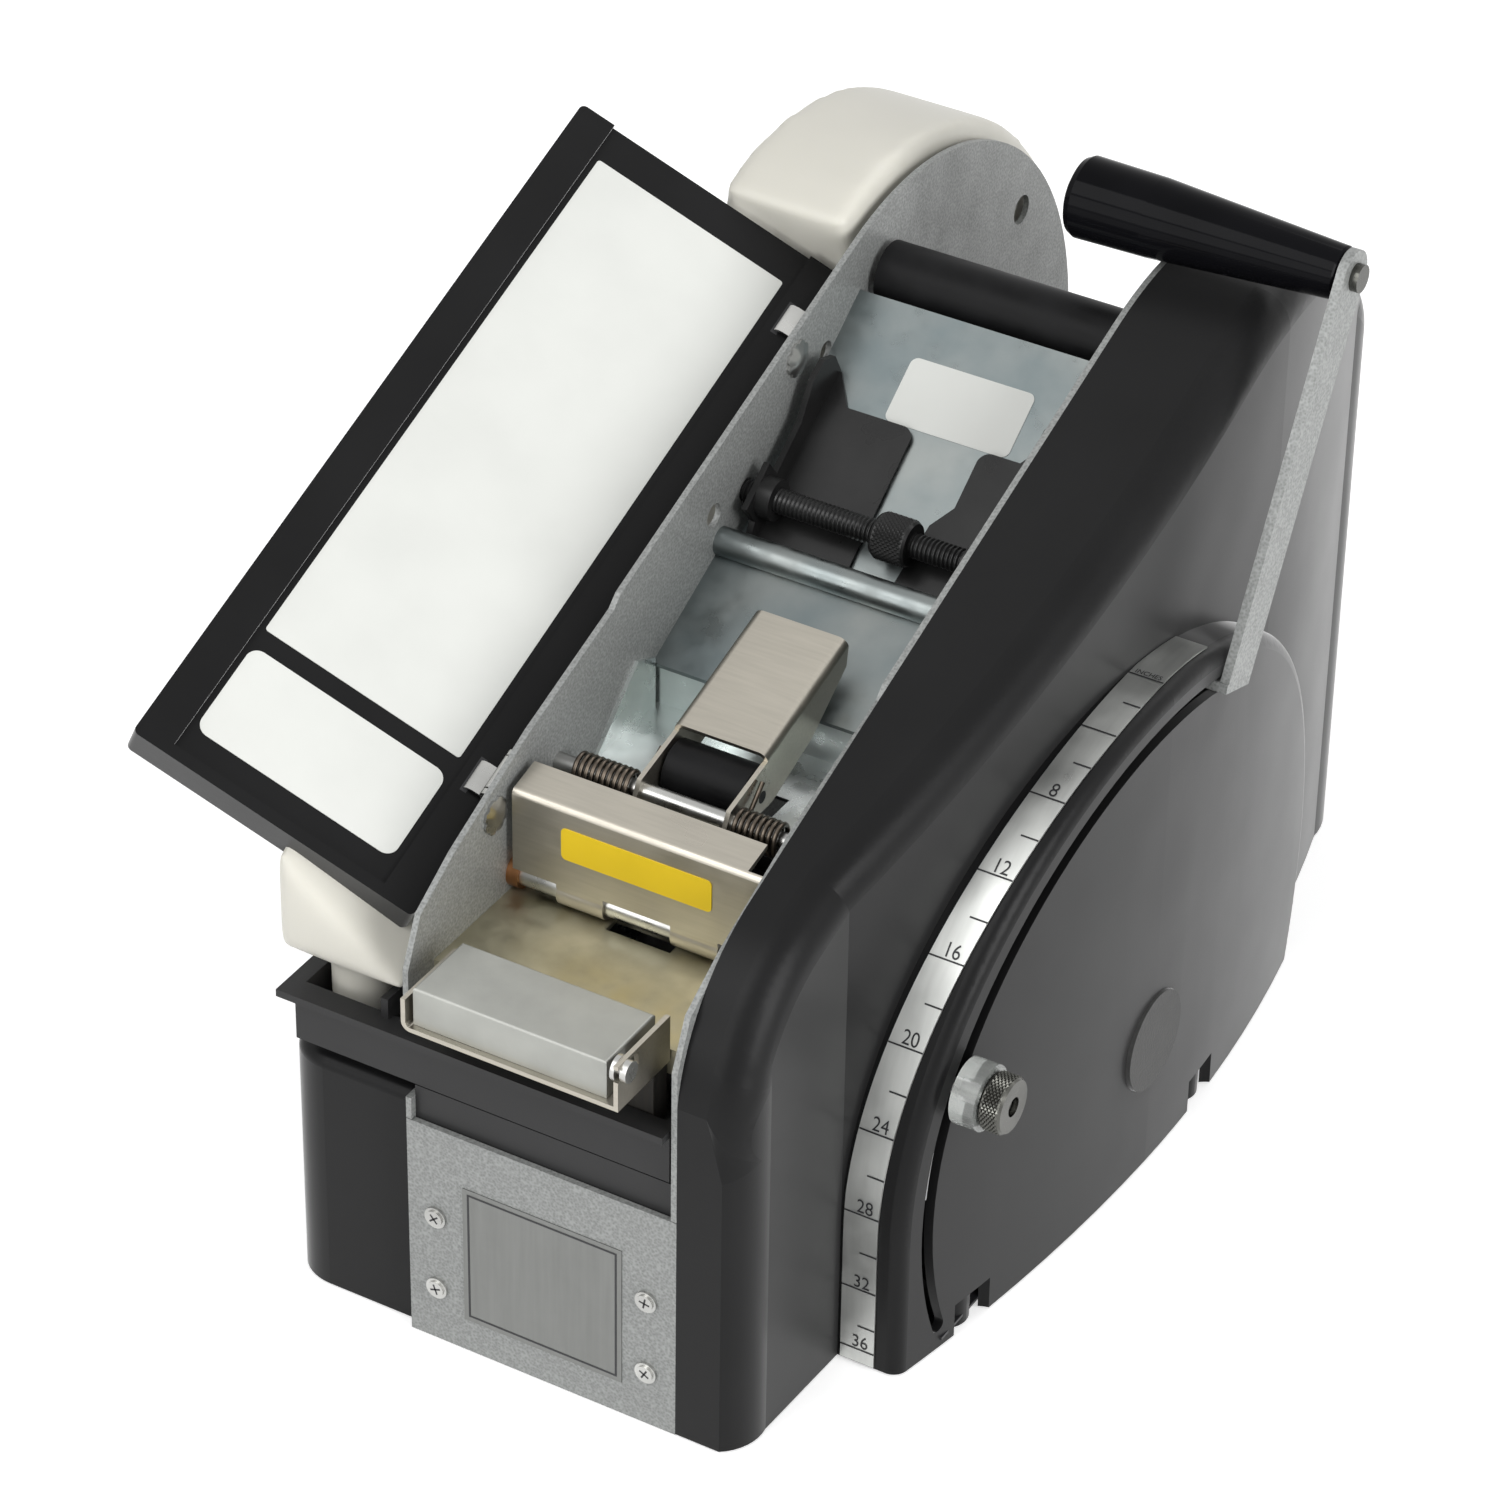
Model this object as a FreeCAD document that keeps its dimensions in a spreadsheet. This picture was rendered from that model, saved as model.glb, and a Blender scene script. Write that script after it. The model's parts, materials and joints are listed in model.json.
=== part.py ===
# Bench dispenser for gummed paper tape, worked by a pull crank. Millimetres.
# X runs to the crank side, Y runs back from the front panel's face, Z runs up from the base's underside.
# Each node is then moved by half the depth, so that the origin is the centre of the base.
import math
import os

import FreeCAD
import Part
import Sketcher

doc = FreeCAD.newDocument("gummed_tape_dispenser")
sheet = doc.addObject("Spreadsheet::Sheet", "Sizes")


class Size:
    """A dimension that keeps both its number and the sheet expression that it comes from."""

    def __init__(self, number, text):
        self.number = float(number)
        self.text = text

    def __add__(self, other):
        return joined(self, "+", other)

    def __radd__(self, other):
        return joined(other, "+", self)

    def __sub__(self, other):
        return joined(self, "-", other)

    def __rsub__(self, other):
        return joined(other, "-", self)

    def __mul__(self, other):
        return joined(self, "*", other)

    def __rmul__(self, other):
        return joined(other, "*", self)

    def __truediv__(self, other):
        return joined(self, "/", other)

    def __rtruediv__(self, other):
        return joined(other, "/", self)

    def __neg__(self):
        return joined(0, "-", self)


def size(value):
    return value if isinstance(value, Size) else Size(value, "({:.6f})".format(value))


def joined(left, sign, right):
    left, right = size(left), size(right)
    a, b = left.number, right.number
    number = {"+": a + b, "-": a - b, "*": a * b}[sign] if sign != "/" else a / b
    return Size(number, "({} {} {})".format(left.text, sign, right.text))


def sine(angle):
    return Size(math.sin(math.radians(angle.number)), "sin({} * 1 deg)".format(angle.text))


def cosine(angle):
    return Size(math.cos(math.radians(angle.number)), "cos({} * 1 deg)".format(angle.text))


def root(value):
    return Size(math.sqrt(value.number), "sqrt({})".format(value.text))


cells = []


def cell(alias, value):
    """Write one driving dimension into the sheet and hand back its size."""
    row = str(len(cells) + 1)
    cells.append(alias)
    sheet.set("A" + row, alias.replace("_", " "))
    sheet.set("B" + row, str(value))
    sheet.setAlias("B" + row, alias)
    return Size(value, "Sizes." + alias)


# ---- driving dimensions -------------------------------------------------------------------------
depth = cell("depth", 398.0)
tape_gap = cell("tape_gap", 88.9)
plate = cell("plate_thickness", 1.9)
clearance = cell("running_clearance", 0.05)
seat_gap = cell("seat_gap", 0.3)
panel_height = cell("panel_height", 80.0)
nose_height = cell("nose_height", 134.0)
drum_back = cell("roll_arc_rear_gap", 0.2)
drum_z = cell("roll_arc_z", 151.1)
drum_radius = cell("roll_arc_radius", 107.0)
slope = cell("top_slope", 20.66)
step_y = cell("plate_step_y", 112.0)
step_drop = cell("plate_step_drop", 2.0)
pan_lip = cell("base_lip_height", 14.0)
tank_width = cell("tank_side_width", 43.0)
tank_rim_z = cell("tank_rim_z", 112.0)
tank_depth = cell("tank_depth", 62.0)
tank_height = cell("tank_height", 20.0)
tank_wall = cell("tank_wall", 2.5)
rim_width = cell("tank_rim_width", 3.0)
rim_thickness = cell("tank_rim_thickness", 2.5)
cover_width = cell("left_cover_width", 38.6)
cover_height = cell("left_cover_height", 87.0)
cover_wall = cell("cover_wall", 3.0)
floor_gap = cell("floor_gap", 0.3)
housing_width = cell("housing_width", 38.0)
housing_wall = cell("housing_wall", 3.0)
housing_round = cell("housing_round", 12.0)
side_bow = cell("housing_bow_radius", 767.0)
rear_bow = cell("housing_rear_bow", 500.0)
front_corner = cell("housing_front_corner", 16.0)
rear_corner = cell("housing_rear_corner", 28.0)
nose_round = cell("housing_nose_radius", 60.0)
rounding_room = cell("rounding_room", 4.0)
pivot_y = cell("pivot_y", 186.0)
pivot_z = cell("pivot_z", 48.0)
boss_radius = cell("boss_radius", 130.0)
boss_face = cell("boss_face_x", 104.5)
boss_front = cell("boss_front_x", 89.5)
boss_rear = cell("boss_rear_x", 91.9)
boss_bow = cell("boss_front_bow", 700.0)
boss_rear_bow = cell("boss_rear_bow", 570.0)
bead = cell("boss_bead", 5.0)
foot_recess = cell("foot_recess_radius", 9.0)
recess_top = cell("foot_recess_top", 12.0)
slot_inset = cell("slot_inset", 11.5)
slot_width = cell("slot_width", 5.0)
slot_top = cell("slot_top_angle", 114.8)
slot_bottom = cell("slot_bottom_angle", -19.0)
strip_width = cell("scale_width", 11.5)
strip_front_x = cell("scale_front_x", 81.8)
strip_rear_x = cell("scale_rear_x", 100.2)
strip_bow = cell("scale_bow_radius", 459.0)
strip_thickness = cell("scale_thickness", 0.5)
strip_top = cell("scale_top_angle", 103.0)
strip_foot = cell("scale_foot_z", 1.2)
cap_radius = cell("pivot_cap_radius", 16.7)
arm_angle = cell("crank_rest_angle", 107.8)
arm_width = cell("crank_arm_width", 16.6)
arm_thickness = cell("crank_arm_thickness", 3.0)
arm_web = cell("crank_web_sweep", 7.9)
grip_y = cell("grip_y", 284.0)
grip_z = cell("grip_z", 271.6)
grip_length = cell("grip_length", 90.0)
grip_big = cell("grip_big_radius", 13.0)
grip_small = cell("grip_small_radius", 8.5)
stop_angle = cell("stop_angle", 24.7)
stop_rise = cell("stop_rise", 8)
stop_ring = cell("stop_ring_radius", 10.4)
stop_nut_radius = cell("stop_nut_radius", 9.3)
stud = cell("stud_radius", 2.3)
lid_angle = cell("lid_open_angle", 29.0)
lid_width = cell("lid_width", 96.8)
lid_length = cell("lid_length", 261.0)
lid_depth = cell("lid_depth", 12.0)
lid_rim = cell("lid_rail", 12.0)
lid_lip = cell("lid_front_lip", 4.0)
lid_recess = cell("lid_recess", 2.0)
lid_start = cell("lid_start", 8.3)
lid_out = cell("lid_edge_x", 52.0)
lid_drop = cell("lid_edge_drop", 17.5)
hinge_x = cell("lid_hinge_x", 48.7)
hinge_drop = cell("lid_hinge_drop", 8.7)
hinge_pin = cell("lid_hinge_radius", 1.0)
roller_y = cell("top_roller_y", 270.0)
roller_z = cell("top_roller_z", 233.5)
roller_radius = cell("top_roller_radius", 10.5)
axle = cell("axle_radius", 4.0)
back_y = cell("back_plate_y", 255.5)
back_z = cell("back_plate_z", 233.8)
back_slope = cell("back_plate_slope", 36.0)
back_length = cell("back_plate_length", 116.0)
sheet_metal = cell("sheet_metal", 1.2)
rod_y = cell("guide_rod_y", 188.0)
rod_z = cell("guide_rod_z", 197.0)
guide_x = cell("guide_x", 38.0)
guide_wall = cell("guide_wall", 2.0)
wheel_radius = cell("thumbwheel_radius", 7.6)
wheel_width = cell("thumbwheel_width", 12.0)
film = cell("flap_thickness", 0.5)
flap_length = cell("flap_length", 40.0)
curl_y = cell("rolled_edge_y", 173.0)
curl_z = cell("rolled_edge_z", 187.0)
curl_radius = cell("rolled_edge_radius", 4.6)
feed_y = cell("feed_roller_y", 97.0)
feed_z = cell("feed_roller_z", 138.5)
feed_radius = cell("feed_roller_radius", 12.0)
tape_gap_z = cell("tape_path_gap", 0.5)
press_radius = cell("pressure_roller_radius", 9.0)
press_width = cell("pressure_roller_width", 27.0)
spring_y = cell("spring_shaft_y", 81.0)
spring_z = cell("spring_shaft_z", 160.0)
spring_shaft_radius = cell("spring_shaft_radius", 3.0)
coil_radius = cell("spring_coil_radius", 5.6)
channel_width = cell("channel_width", 32.0)
channel_length = cell("channel_length", 58.0)
channel_slope = cell("channel_slope", 17.0)
channel_wall = cell("channel_wall", 1.5)
shear_y = cell("shear_shaft_y", 57.0)
shear_z = cell("shear_shaft_z", 136.0)
guard_y = cell("guard_face_y", 52.0)
guard_top = cell("guard_top_z", 168.0)
guard_flange = cell("guard_flange", 12.3)
guard_sheet = cell("guard_sheet", 1.5)
barrel_radius = cell("barrel_radius", 5.2)
table_z = cell("tape_table_z", 130.2)
table_front = cell("tape_table_front", 13.5)
weight_half = cell("weight_half_depth", 13.0)
weight_z = cell("weight_bottom_z", 131.5)
weight_height = cell("weight_height", 9.5)
bracket_z = cell("bracket_bottom_z", 126.5)
bottle_radius = cell("bottle_drum_radius", 113.0)
bottle_width = cell("bottle_width", 57.0)
neck_radius = cell("bottle_neck_radius", 10.5)
neck_x = cell("bottle_neck_x", 73.0)
neck_y = cell("bottle_neck_y", 20.0)
screw_radius = cell("panel_screw_radius", 3.6)
label = cell("label_thickness", 0.3)

drum_y = depth - drum_radius - drum_back
slot_radius = boss_radius - slot_inset
half_gap = tape_gap / 2
outer = half_gap + plate
doc.recompute()


# ---- helpers ------------------------------------------------------------------------------------
PLANES = {"XY": "XY_Plane", "XZ": "XZ_Plane", "YZ": "YZ_Plane"}
nodes = []


def bind(obj, prop, value):
    obj.setExpression(prop, size(value).text)


def node(obj, name):
    """Name a finished piece and move it so that the base's centre is the origin."""
    obj.Label = name
    bind(obj, "Placement.Base.y", -depth / 2)
    nodes.append(obj)
    return obj


def body(name):
    return doc.addObject("PartDesign::Body", name + "_body")


def plane_of(owner, plane):
    for feature in owner.Origin.OriginFeatures:
        if feature.Role == PLANES[plane]:
            return feature


def arc_centre(a, b, radius):
    """Centre of the arc of the given radius from a to b: on the left of a-b when it is positive."""
    mid_x, mid_y = (a[0] + b[0]) / 2, (a[1] + b[1]) / 2
    dx, dy = b[0] - a[0], b[1] - a[1]
    chord = math.hypot(dx, dy)
    rise = math.sqrt(max(radius * radius - chord * chord / 4, 0.0))
    side = 1 if radius > 0 else -1
    return mid_x - side * dy / chord * rise, mid_y + side * dx / chord * rise


def outline(sk, points):
    """Closed outline through points (x, y) or (x, y, radius), where a radius bends the side that ends there."""
    count = len(points)
    corners = [(size(p[0]).number, size(p[1]).number) for p in points]
    ends = []
    for i in range(count):
        a, b = corners[i - 1], corners[i]
        if len(points[i]) == 3:
            radius = size(points[i][2]).number
            cx, cy = arc_centre(a, b, radius)
            first = math.atan2(a[1] - cy, a[0] - cx)
            last = math.atan2(b[1] - cy, b[0] - cx)
            start, end = (first, last) if radius > 0 else (last, first)
            centre = FreeCAD.Vector(cx, cy, 0)
            circle = Part.Circle(centre, FreeCAD.Vector(0, 0, 1), abs(radius))
            geo = sk.addGeometry(Part.ArcOfCircle(circle, start, end), False)
            ends.append((geo, 1, 2) if radius > 0 else (geo, 2, 1))
            index = sk.addConstraint(Sketcher.Constraint("Radius", geo, abs(radius)))
            bind(sk, "Constraints[%d]" % index, points[i][2] if radius > 0 else -size(points[i][2]))
        else:
            line = Part.LineSegment(FreeCAD.Vector(a[0], a[1], 0), FreeCAD.Vector(b[0], b[1], 0))
            ends.append((sk.addGeometry(line, False), 1, 2))
    for i in range(count):
        geo, start, end = ends[i]
        after, first, last = ends[(i + 1) % count]
        sk.addConstraint(Sketcher.Constraint("Coincident", geo, end, after, first))
        for kind, axis in (("DistanceX", 0), ("DistanceY", 1)):
            rule = Sketcher.Constraint(kind, -1, 1, geo, end, corners[i][axis])
            index = sk.addConstraint(rule)
            bind(sk, "Constraints[%d]" % index, points[i][axis])


def round_outline(sk, x, y, radius):
    centre = FreeCAD.Vector(size(x).number, size(y).number, 0)
    geo = sk.addGeometry(Part.Circle(centre, FreeCAD.Vector(0, 0, 1), size(radius).number), False)
    for kind, value in (("DistanceX", x), ("DistanceY", y)):
        index = sk.addConstraint(Sketcher.Constraint(kind, -1, 1, geo, 3, size(value).number))
        bind(sk, "Constraints[%d]" % index, value)
    index = sk.addConstraint(Sketcher.Constraint("Radius", geo, size(radius).number))
    bind(sk, "Constraints[%d]" % index, radius)


def sketch(owner, plane, offset, loops):
    """Sketch on one of the body's own planes: each loop is an outline or a circle (x, y, r)."""
    sk = owner.newObject("Sketcher::SketchObject", owner.Name + "_sketch")
    sk.AttachmentSupport = [(plane_of(owner, plane), "")]
    sk.MapMode = "FlatFace"
    bind(sk, "AttachmentOffset.Base.z", offset)
    for loop in loops:
        if isinstance(loop, tuple):
            round_outline(sk, *loop)
        else:
            outline(sk, loop)
    return sk


def feature(owner, kind, sk, length, reverse=False, middle=False):
    made = owner.newObject("PartDesign::" + kind, owner.Name + "_" + kind.lower())
    made.Profile = sk
    bind(made, "Length", length)
    made.Reversed = reverse
    if middle:
        made.Midplane = True
    sk.Visibility = False
    return made


def pad(owner, plane, offset, loops, length, reverse=False, middle=False):
    return feature(owner, "Pad", sketch(owner, plane, offset, loops), length, reverse, middle)


def pocket(owner, plane, offset, loops, length, reverse=False, middle=False):
    """Cut into the body; stops the build where the cut misses the solid."""
    doc.recompute()
    before = owner.Shape.Volume
    made = feature(owner, "Pocket", sketch(owner, plane, offset, loops), length, reverse, middle)
    doc.recompute()
    if owner.Shape.Volume > before - 0.01:
        raise ValueError("pocket misses " + owner.Name)
    return made


def edges_where(shape, test):
    return ["Edge%d" % (i + 1) for i, edge in enumerate(shape.Edges) if test(edge)]


def fillet(owner, radius, test):
    """Round the body's edges that pass the test."""
    doc.recompute()
    tip = owner.Tip
    names = edges_where(tip.Shape, test)
    if not names:
        raise ValueError("no edge to round on " + owner.Name)
    made = owner.newObject("PartDesign::Fillet", owner.Name + "_fillet")
    made.Base = (tip, names)
    bind(made, "Radius", radius)
    doc.recompute()
    return made


TURNS = {
    "X": FreeCAD.Rotation(FreeCAD.Vector(0, 1, 0), 90),
    "Y": FreeCAD.Rotation(FreeCAD.Vector(1, 0, 0), -90),
    "Z": FreeCAD.Rotation(),
}


def place(obj, x, y, z, turn=None):
    if turn is not None:
        obj.Placement = FreeCAD.Placement(FreeCAD.Vector(), turn)
    for axis, value in (("x", x), ("y", y), ("z", z)):
        bind(obj, "Placement.Base." + axis, value)
    return obj


def cylinder(name, radius, length, x, y, z, axis="X"):
    made = doc.addObject("Part::Cylinder", name + "_cylinder")
    bind(made, "Radius", radius)
    bind(made, "Height", length)
    return place(made, x, y, z, TURNS[axis])


def box(name, dx, dy, dz, x, y, z):
    made = doc.addObject("Part::Box", name + "_box")
    for prop, value in (("Length", dx), ("Width", dy), ("Height", dz)):
        bind(made, prop, value)
    return place(made, x, y, z)


def cut(name, base, *tools):
    for tool in tools:
        made = doc.addObject("Part::Cut", name + "_cut")
        made.Base = base
        made.Tool = tool
        base = made
    return base


def fuse(name, *pieces):
    made = doc.addObject("Part::MultiFuse", name + "_fuse")
    made.Shapes = list(pieces)
    return made


def common(name, *pieces):
    made = doc.addObject("Part::MultiCommon", name + "_common")
    made.Shapes = list(pieces)
    return made


def across(name, radius, margin, y, z):
    """Bar along X between the side plates, or past their inner faces by the margin."""
    return cylinder(name, radius, tape_gap + 2 * margin, -half_gap - margin, y, z)


# ---- side plates --------------------------------------------------------------------------------
tan_y = drum_y - drum_radius * sine(slope)
tan_z = drum_z + drum_radius * cosine(slope)
rise = sine(slope) / cosine(slope)
rear_z = drum_z - 0.6 * plate


def top_line(y, drop=0):
    """Height of the plates' sloping top edge at y, less a drop square to it."""
    return tan_z - (tan_y - y) * rise - drop / cosine(slope)


def plate_profile(front=0):
    foot = panel_height + seat_gap
    return [
        (plate + seat_gap, 0),
        (depth, 0),
        (depth, rear_z),
        (tan_y, tan_z, drum_radius),
        (step_y + 2 * step_drop, top_line(step_y + 2 * step_drop)),
        (step_y, top_line(step_y, step_drop)),
        (step_y / 2 + 10, top_line(step_y / 2 + 10, 1)),
        (25, nose_height + 27),
        (7, nose_height + 16),
        (0, nose_height),
        (0, foot),
        (plate + seat_gap, foot),
    ]


shaft_holes = [
    (roller_y, roller_z, axle + clearance),
    (rod_y, rod_z, axle + clearance),
    (spring_y, spring_z, spring_shaft_radius + clearance),
    (shear_y, shear_z, axle + clearance),
    (feed_y, feed_z, axle + clearance),
]
side_holes = [(361, 211, 5), (235, 226 - 4, 3.5), (169, 198, 4)]
notch_back = tank_depth + 8
notch_low = tank_rim_z - tank_height - 4
notch_high = tank_rim_z + 1.5

right_plate = body("side_plate_right")
pad(right_plate, "YZ", half_gap, [plate_profile()], plate)
crank_bore = (pivot_y, pivot_z, 8 + clearance)
pocket(right_plate, "YZ", outer, shaft_holes + [crank_bore], plate)
node(right_plate, "side_plate_right")

left_plate = body("side_plate_left")
pad(left_plate, "YZ", -outer, [plate_profile()], plate)
tank_notch = [(-1, notch_low), (notch_back, notch_low), (notch_back, notch_high), (-1, notch_high)]
pocket(left_plate, "YZ", -half_gap, shaft_holes + side_holes + [tank_notch], plate)
node(left_plate, "side_plate_left")

# ---- front panel, base and rear -----------------------------------------------------------------
panel = body("front_panel")
panel_loop = [(-outer, 0), (outer, 0), (outer, panel_height), (-outer, panel_height)]
pad(panel, "XZ", 0, [panel_loop], plate, reverse=True)
screw_x = 36.5
screw_rows = (20, 47)
panel_holes = [(side * screw_x, z, stud + clearance) for side in (-1, 1) for z in screw_rows]
pocket(panel, "XZ", 0, panel_holes, plate, reverse=False)
node(panel, "front_panel")

base = body("base_pan")
base_front = plate + seat_gap
pad(base, "YZ", -half_gap, [[
    (base_front, 0),
    (depth, 0),
    (depth, pan_lip),
    (depth - plate, pan_lip),
    (depth - plate, plate),
    (base_front + plate, plate),
    (base_front + plate, pan_lip * 4),
    (base_front, pan_lip * 4),
]], tape_gap)
node(base, "base_pan")

name_plate = box("name_plate", 55, label, 50, -27, -label, 12)
bind(name_plate, "Placement.Base.y", -label - depth / 2)
name_plate.Label = "name_plate"
nodes.append(name_plate)


def pan_screw(name, x, z):
    """Pan-head screw through the front panel into the base's front flange."""
    head = cylinder(name + "_head", screw_radius, 1, x, -1, z, "Y")
    crown = cylinder(name + "_crown", screw_radius * 0.75, 1, x, -1.6, z, "Y")
    shank = cylinder(name + "_shank", stud, plate + seat_gap, x, 0, z, "Y")
    return node(fuse(name, head, crown, shank), name)


for index, (side, z) in enumerate([(s, r) for s in (-1, 1) for r in screw_rows]):
    pan_screw("panel_screw_%d" % (index + 1), side * screw_x, z)

# ---- left cover ---------------------------------------------------------------------------------
left_out = outer + cover_width
cradle = bottle_radius + seat_gap
cover = body("left_cover")
cover_front = 3.5
cradle_dip = root(cradle * cradle - (drum_z - cover_height) * (drum_z - cover_height))
pad(cover, "YZ", -outer, [[
    (cover_front, floor_gap),
    (depth, floor_gap),
    (depth, cover_height),
    (drum_y + cradle_dip, cover_height),
    (drum_y - cradle_dip, cover_height, -cradle),
    (cover_front, cover_height),
]], cover_width, reverse=True)


def upright_left(edge):
    ends = [v.Point for v in edge.Vertexes]
    return (
        len(ends) == 2
        and abs(ends[0].x - ends[1].x) < 0.01
        and abs(ends[0].y - ends[1].y) < 0.01
        and ends[0].x < -left_out.number + 0.01
    )


fillet(cover, 12, upright_left)
fillet(cover, 4, lambda e: e.BoundBox.ZMin > cover_height.number - 0.01
       and e.BoundBox.YMax < 150)
inner_front = cover_front + cover_wall + rounding_room
inner_top = cover_height - cover_wall
inner_cradle = cradle + cover_wall
inner_dip = root(inner_cradle * inner_cradle - (drum_z - inner_top) * (drum_z - inner_top))
pocket(cover, "YZ", -outer, [[
    (inner_front, -1),
    (depth - cover_wall - rounding_room, -1),
    (depth - cover_wall - rounding_room, inner_top),
    (drum_y + inner_dip, inner_top),
    (drum_y - inner_dip, inner_top, -inner_cradle),
    (inner_front, inner_top),
]], cover_width - cover_wall)
node(cover, "left_cover")

# ---- right housing ------------------------------------------------------------------------------
side_low = outer + housing_width * 0.395
side_front = outer + housing_width * 0.565
side_neck = outer + housing_width * 0.596
side_crest = outer + housing_width * 1.083
side_rear = outer + housing_width * 0.68
crest_y = pivot_y + boss_radius * 0.77
boss_low = pivot_y - boss_radius


def side_prism(name, inset):
    """Upright prism of the housing's plan: its outer side bows out towards the middle."""
    owner = body(name)
    low = inset
    pad(owner, "XY", -2, [[
        (outer - 1, low),
        (side_low, low),
        (side_front - inset, front_corner + inset / 2, front_corner),
        (side_neck - inset, boss_low),
        (side_crest - inset, crest_y, side_bow),
        (side_rear - inset, depth - rear_corner, rear_bow),
        (side_rear - 0.79 * rear_corner, depth - inset, rear_corner),
        (outer - 1, depth - inset),
    ]], drum_z + drum_radius + 10)
    return owner


def side_slab(name, inset, width, low):
    """Slab with the side profile of the plates."""
    owner = body(name)
    brow_y = nose_round * 2 / 3
    nose = top_line(brow_y, inset)
    pad(owner, "YZ", outer, [[
        (inset, low),
        (depth - inset, low),
        (depth - inset, rear_z),
        (drum_y - (drum_radius - inset) * sine(slope),
         drum_z + (drum_radius - inset) * cosine(slope), drum_radius - inset),
        (brow_y, nose),
        (inset, nose_height - 12 - inset, nose_round),
    ]], width)
    return owner


def boss_face_line(inset):
    """Plan of the boss: its face bows back towards the front."""
    return [
        (outer - 1, 20),
        (boss_front - inset, 20),
        (boss_front - inset, boss_low),
        (boss_face - inset, pivot_y, boss_bow),
        (boss_rear - inset, pivot_y + boss_radius, boss_rear_bow),
        (boss_rear - inset - 1, pivot_y + boss_radius + 5),
        (outer - 1, pivot_y + boss_radius + 5),
    ]


def boss_prism(name, inset):
    owner = body(name)
    pad(owner, "XY", 0, [boss_face_line(inset)], pivot_z + boss_radius + 10)
    return owner


def boss_drum(name, inset, start):
    owner = body(name)
    reach = boss_radius - inset
    pad(owner, "YZ", start, [[
        (pivot_y + reach, pivot_z, reach),
        (pivot_y, pivot_z + reach, reach),
        (pivot_y - reach, pivot_z, reach),
        (pivot_y - reach, -2),
        (pivot_y + root(reach * reach - pivot_z * pivot_z), -2),
        (pivot_y + root(reach * reach - pivot_z * pivot_z), 0),
    ]], boss_face - start + 10)
    return owner


def shell_of(name, inset, low):
    slab_inset = inset + (rounding_room if inset else 0)
    main = common(name + "_main", side_prism(name + "_plan", inset),
                  side_slab(name + "_side", slab_inset, housing_width + 10, low))
    drum = boss_drum(name + "_drum", inset, outer + 8)
    lift = box(name + "_floor", 100, depth, 300, outer - 1, 0, low)
    boss = common(name + "_boss", drum, boss_prism(name + "_face", inset), lift)
    return main, boss


main_out, boss_out = shell_of("housing", 0, floor_gap)
doc.recompute()


def leaning(edge):
    """True for an edge that isn't a straight upright."""
    box_of = edge.BoundBox
    return box_of.XLength + box_of.YLength > 0.05


def part_fillet(name, base, radius, test):
    """Round the edges of a finished piece that pass the test."""
    doc.recompute()
    made = doc.addObject("Part::Fillet", name + "_fillet")
    made.Base = base
    picked = [i + 1 for i, edge in enumerate(base.Shape.Edges) if test(edge)]
    if not picked:
        raise ValueError("no edge to round on " + name)
    value = size(radius).number
    made.Edges = [(index, value, value) for index in picked]
    doc.recompute()
    return made


rounded_main = part_fillet("housing_main", main_out, housing_round, lambda e: leaning(e)
                           and e.BoundBox.XMin > outer.number + 1 and e.BoundBox.ZMax > 100)
rounded_boss = part_fillet("housing_boss", boss_out, bead, lambda e: leaning(e)
                           and e.BoundBox.XMin > boss_front.number - 8 and e.BoundBox.ZMax > 60
                           and e.BoundBox.ZLength > 5)
main_in, boss_in = shell_of("cavity", housing_wall, -1)
outside = fuse("housing_outside", rounded_main, rounded_boss)


def polar(radius, angle, y=pivot_y, z=pivot_z):
    """Point at an angle that is counted from straight ahead upwards."""
    return y - radius * cosine(angle), z + radius * sine(angle)


def ring_sector(name, inner, outward, low, high, start, length):
    """Part of a ring about the crank's pivot."""
    owner = body(name)
    pad(owner, "YZ", start, [[
        polar(outward, low),
        polar(outward, high) + (-outward,),
        polar(inner, high),
        polar(inner, low) + (inner,),
    ]], length)
    return owner


half_slot = slot_width / 2
slot = ring_sector("slot", slot_radius - half_slot, slot_radius + half_slot, slot_bottom, slot_top,
                   outer + 10, 60)
slot_ends = [
    cylinder("slot_end_%d" % i, half_slot, 60, outer + 10, *polar(slot_radius, angle))
    for i, angle in enumerate((slot_bottom, slot_top))
]
cap_seat = boss_face - 2.4
cap_recess = cylinder("cap_recess", cap_radius + seat_gap, 10, cap_seat, pivot_y, pivot_z)


def face_x(y):
    """The boss's face at y, to the front or the rear of the pivot."""
    away = y - pivot_y
    bow = boss_bow if away.number < 0 else boss_rear_bow
    fall = (boss_face - boss_front) if away.number < 0 else (boss_face - boss_rear)
    span = -boss_radius if away.number < 0 else boss_radius
    return boss_face - fall * away / span + away * (span - away) / (2 * bow)


recesses, feet = [], []
for index, y in enumerate((pivot_y - boss_radius * 0.74, pivot_y + boss_radius * 0.29)):
    recesses.append(cylinder("foot_recess_%d" % index, foot_recess, recess_top + 1,
                             face_x(y) + 3, y, -1, "Z"))
    feet.append(cylinder("foot_%d" % index, foot_recess - 1.5, recess_top + 4 - floor_gap,
                         face_x(y) - foot_recess, y, floor_gap, "Z"))
hollow = cut("housing", outside, main_in, boss_in, slot, *slot_ends, cap_recess, *recesses)
node(fuse("housing_feet", hollow, *feet), "right_housing")

cap = cylinder("pivot_cap", cap_radius, 3.4, cap_seat, pivot_y, pivot_z)
nodes.append(cap)
cap.Label = "pivot_cap"
bind(cap, "Placement.Base.y", pivot_y - depth / 2)


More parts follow.
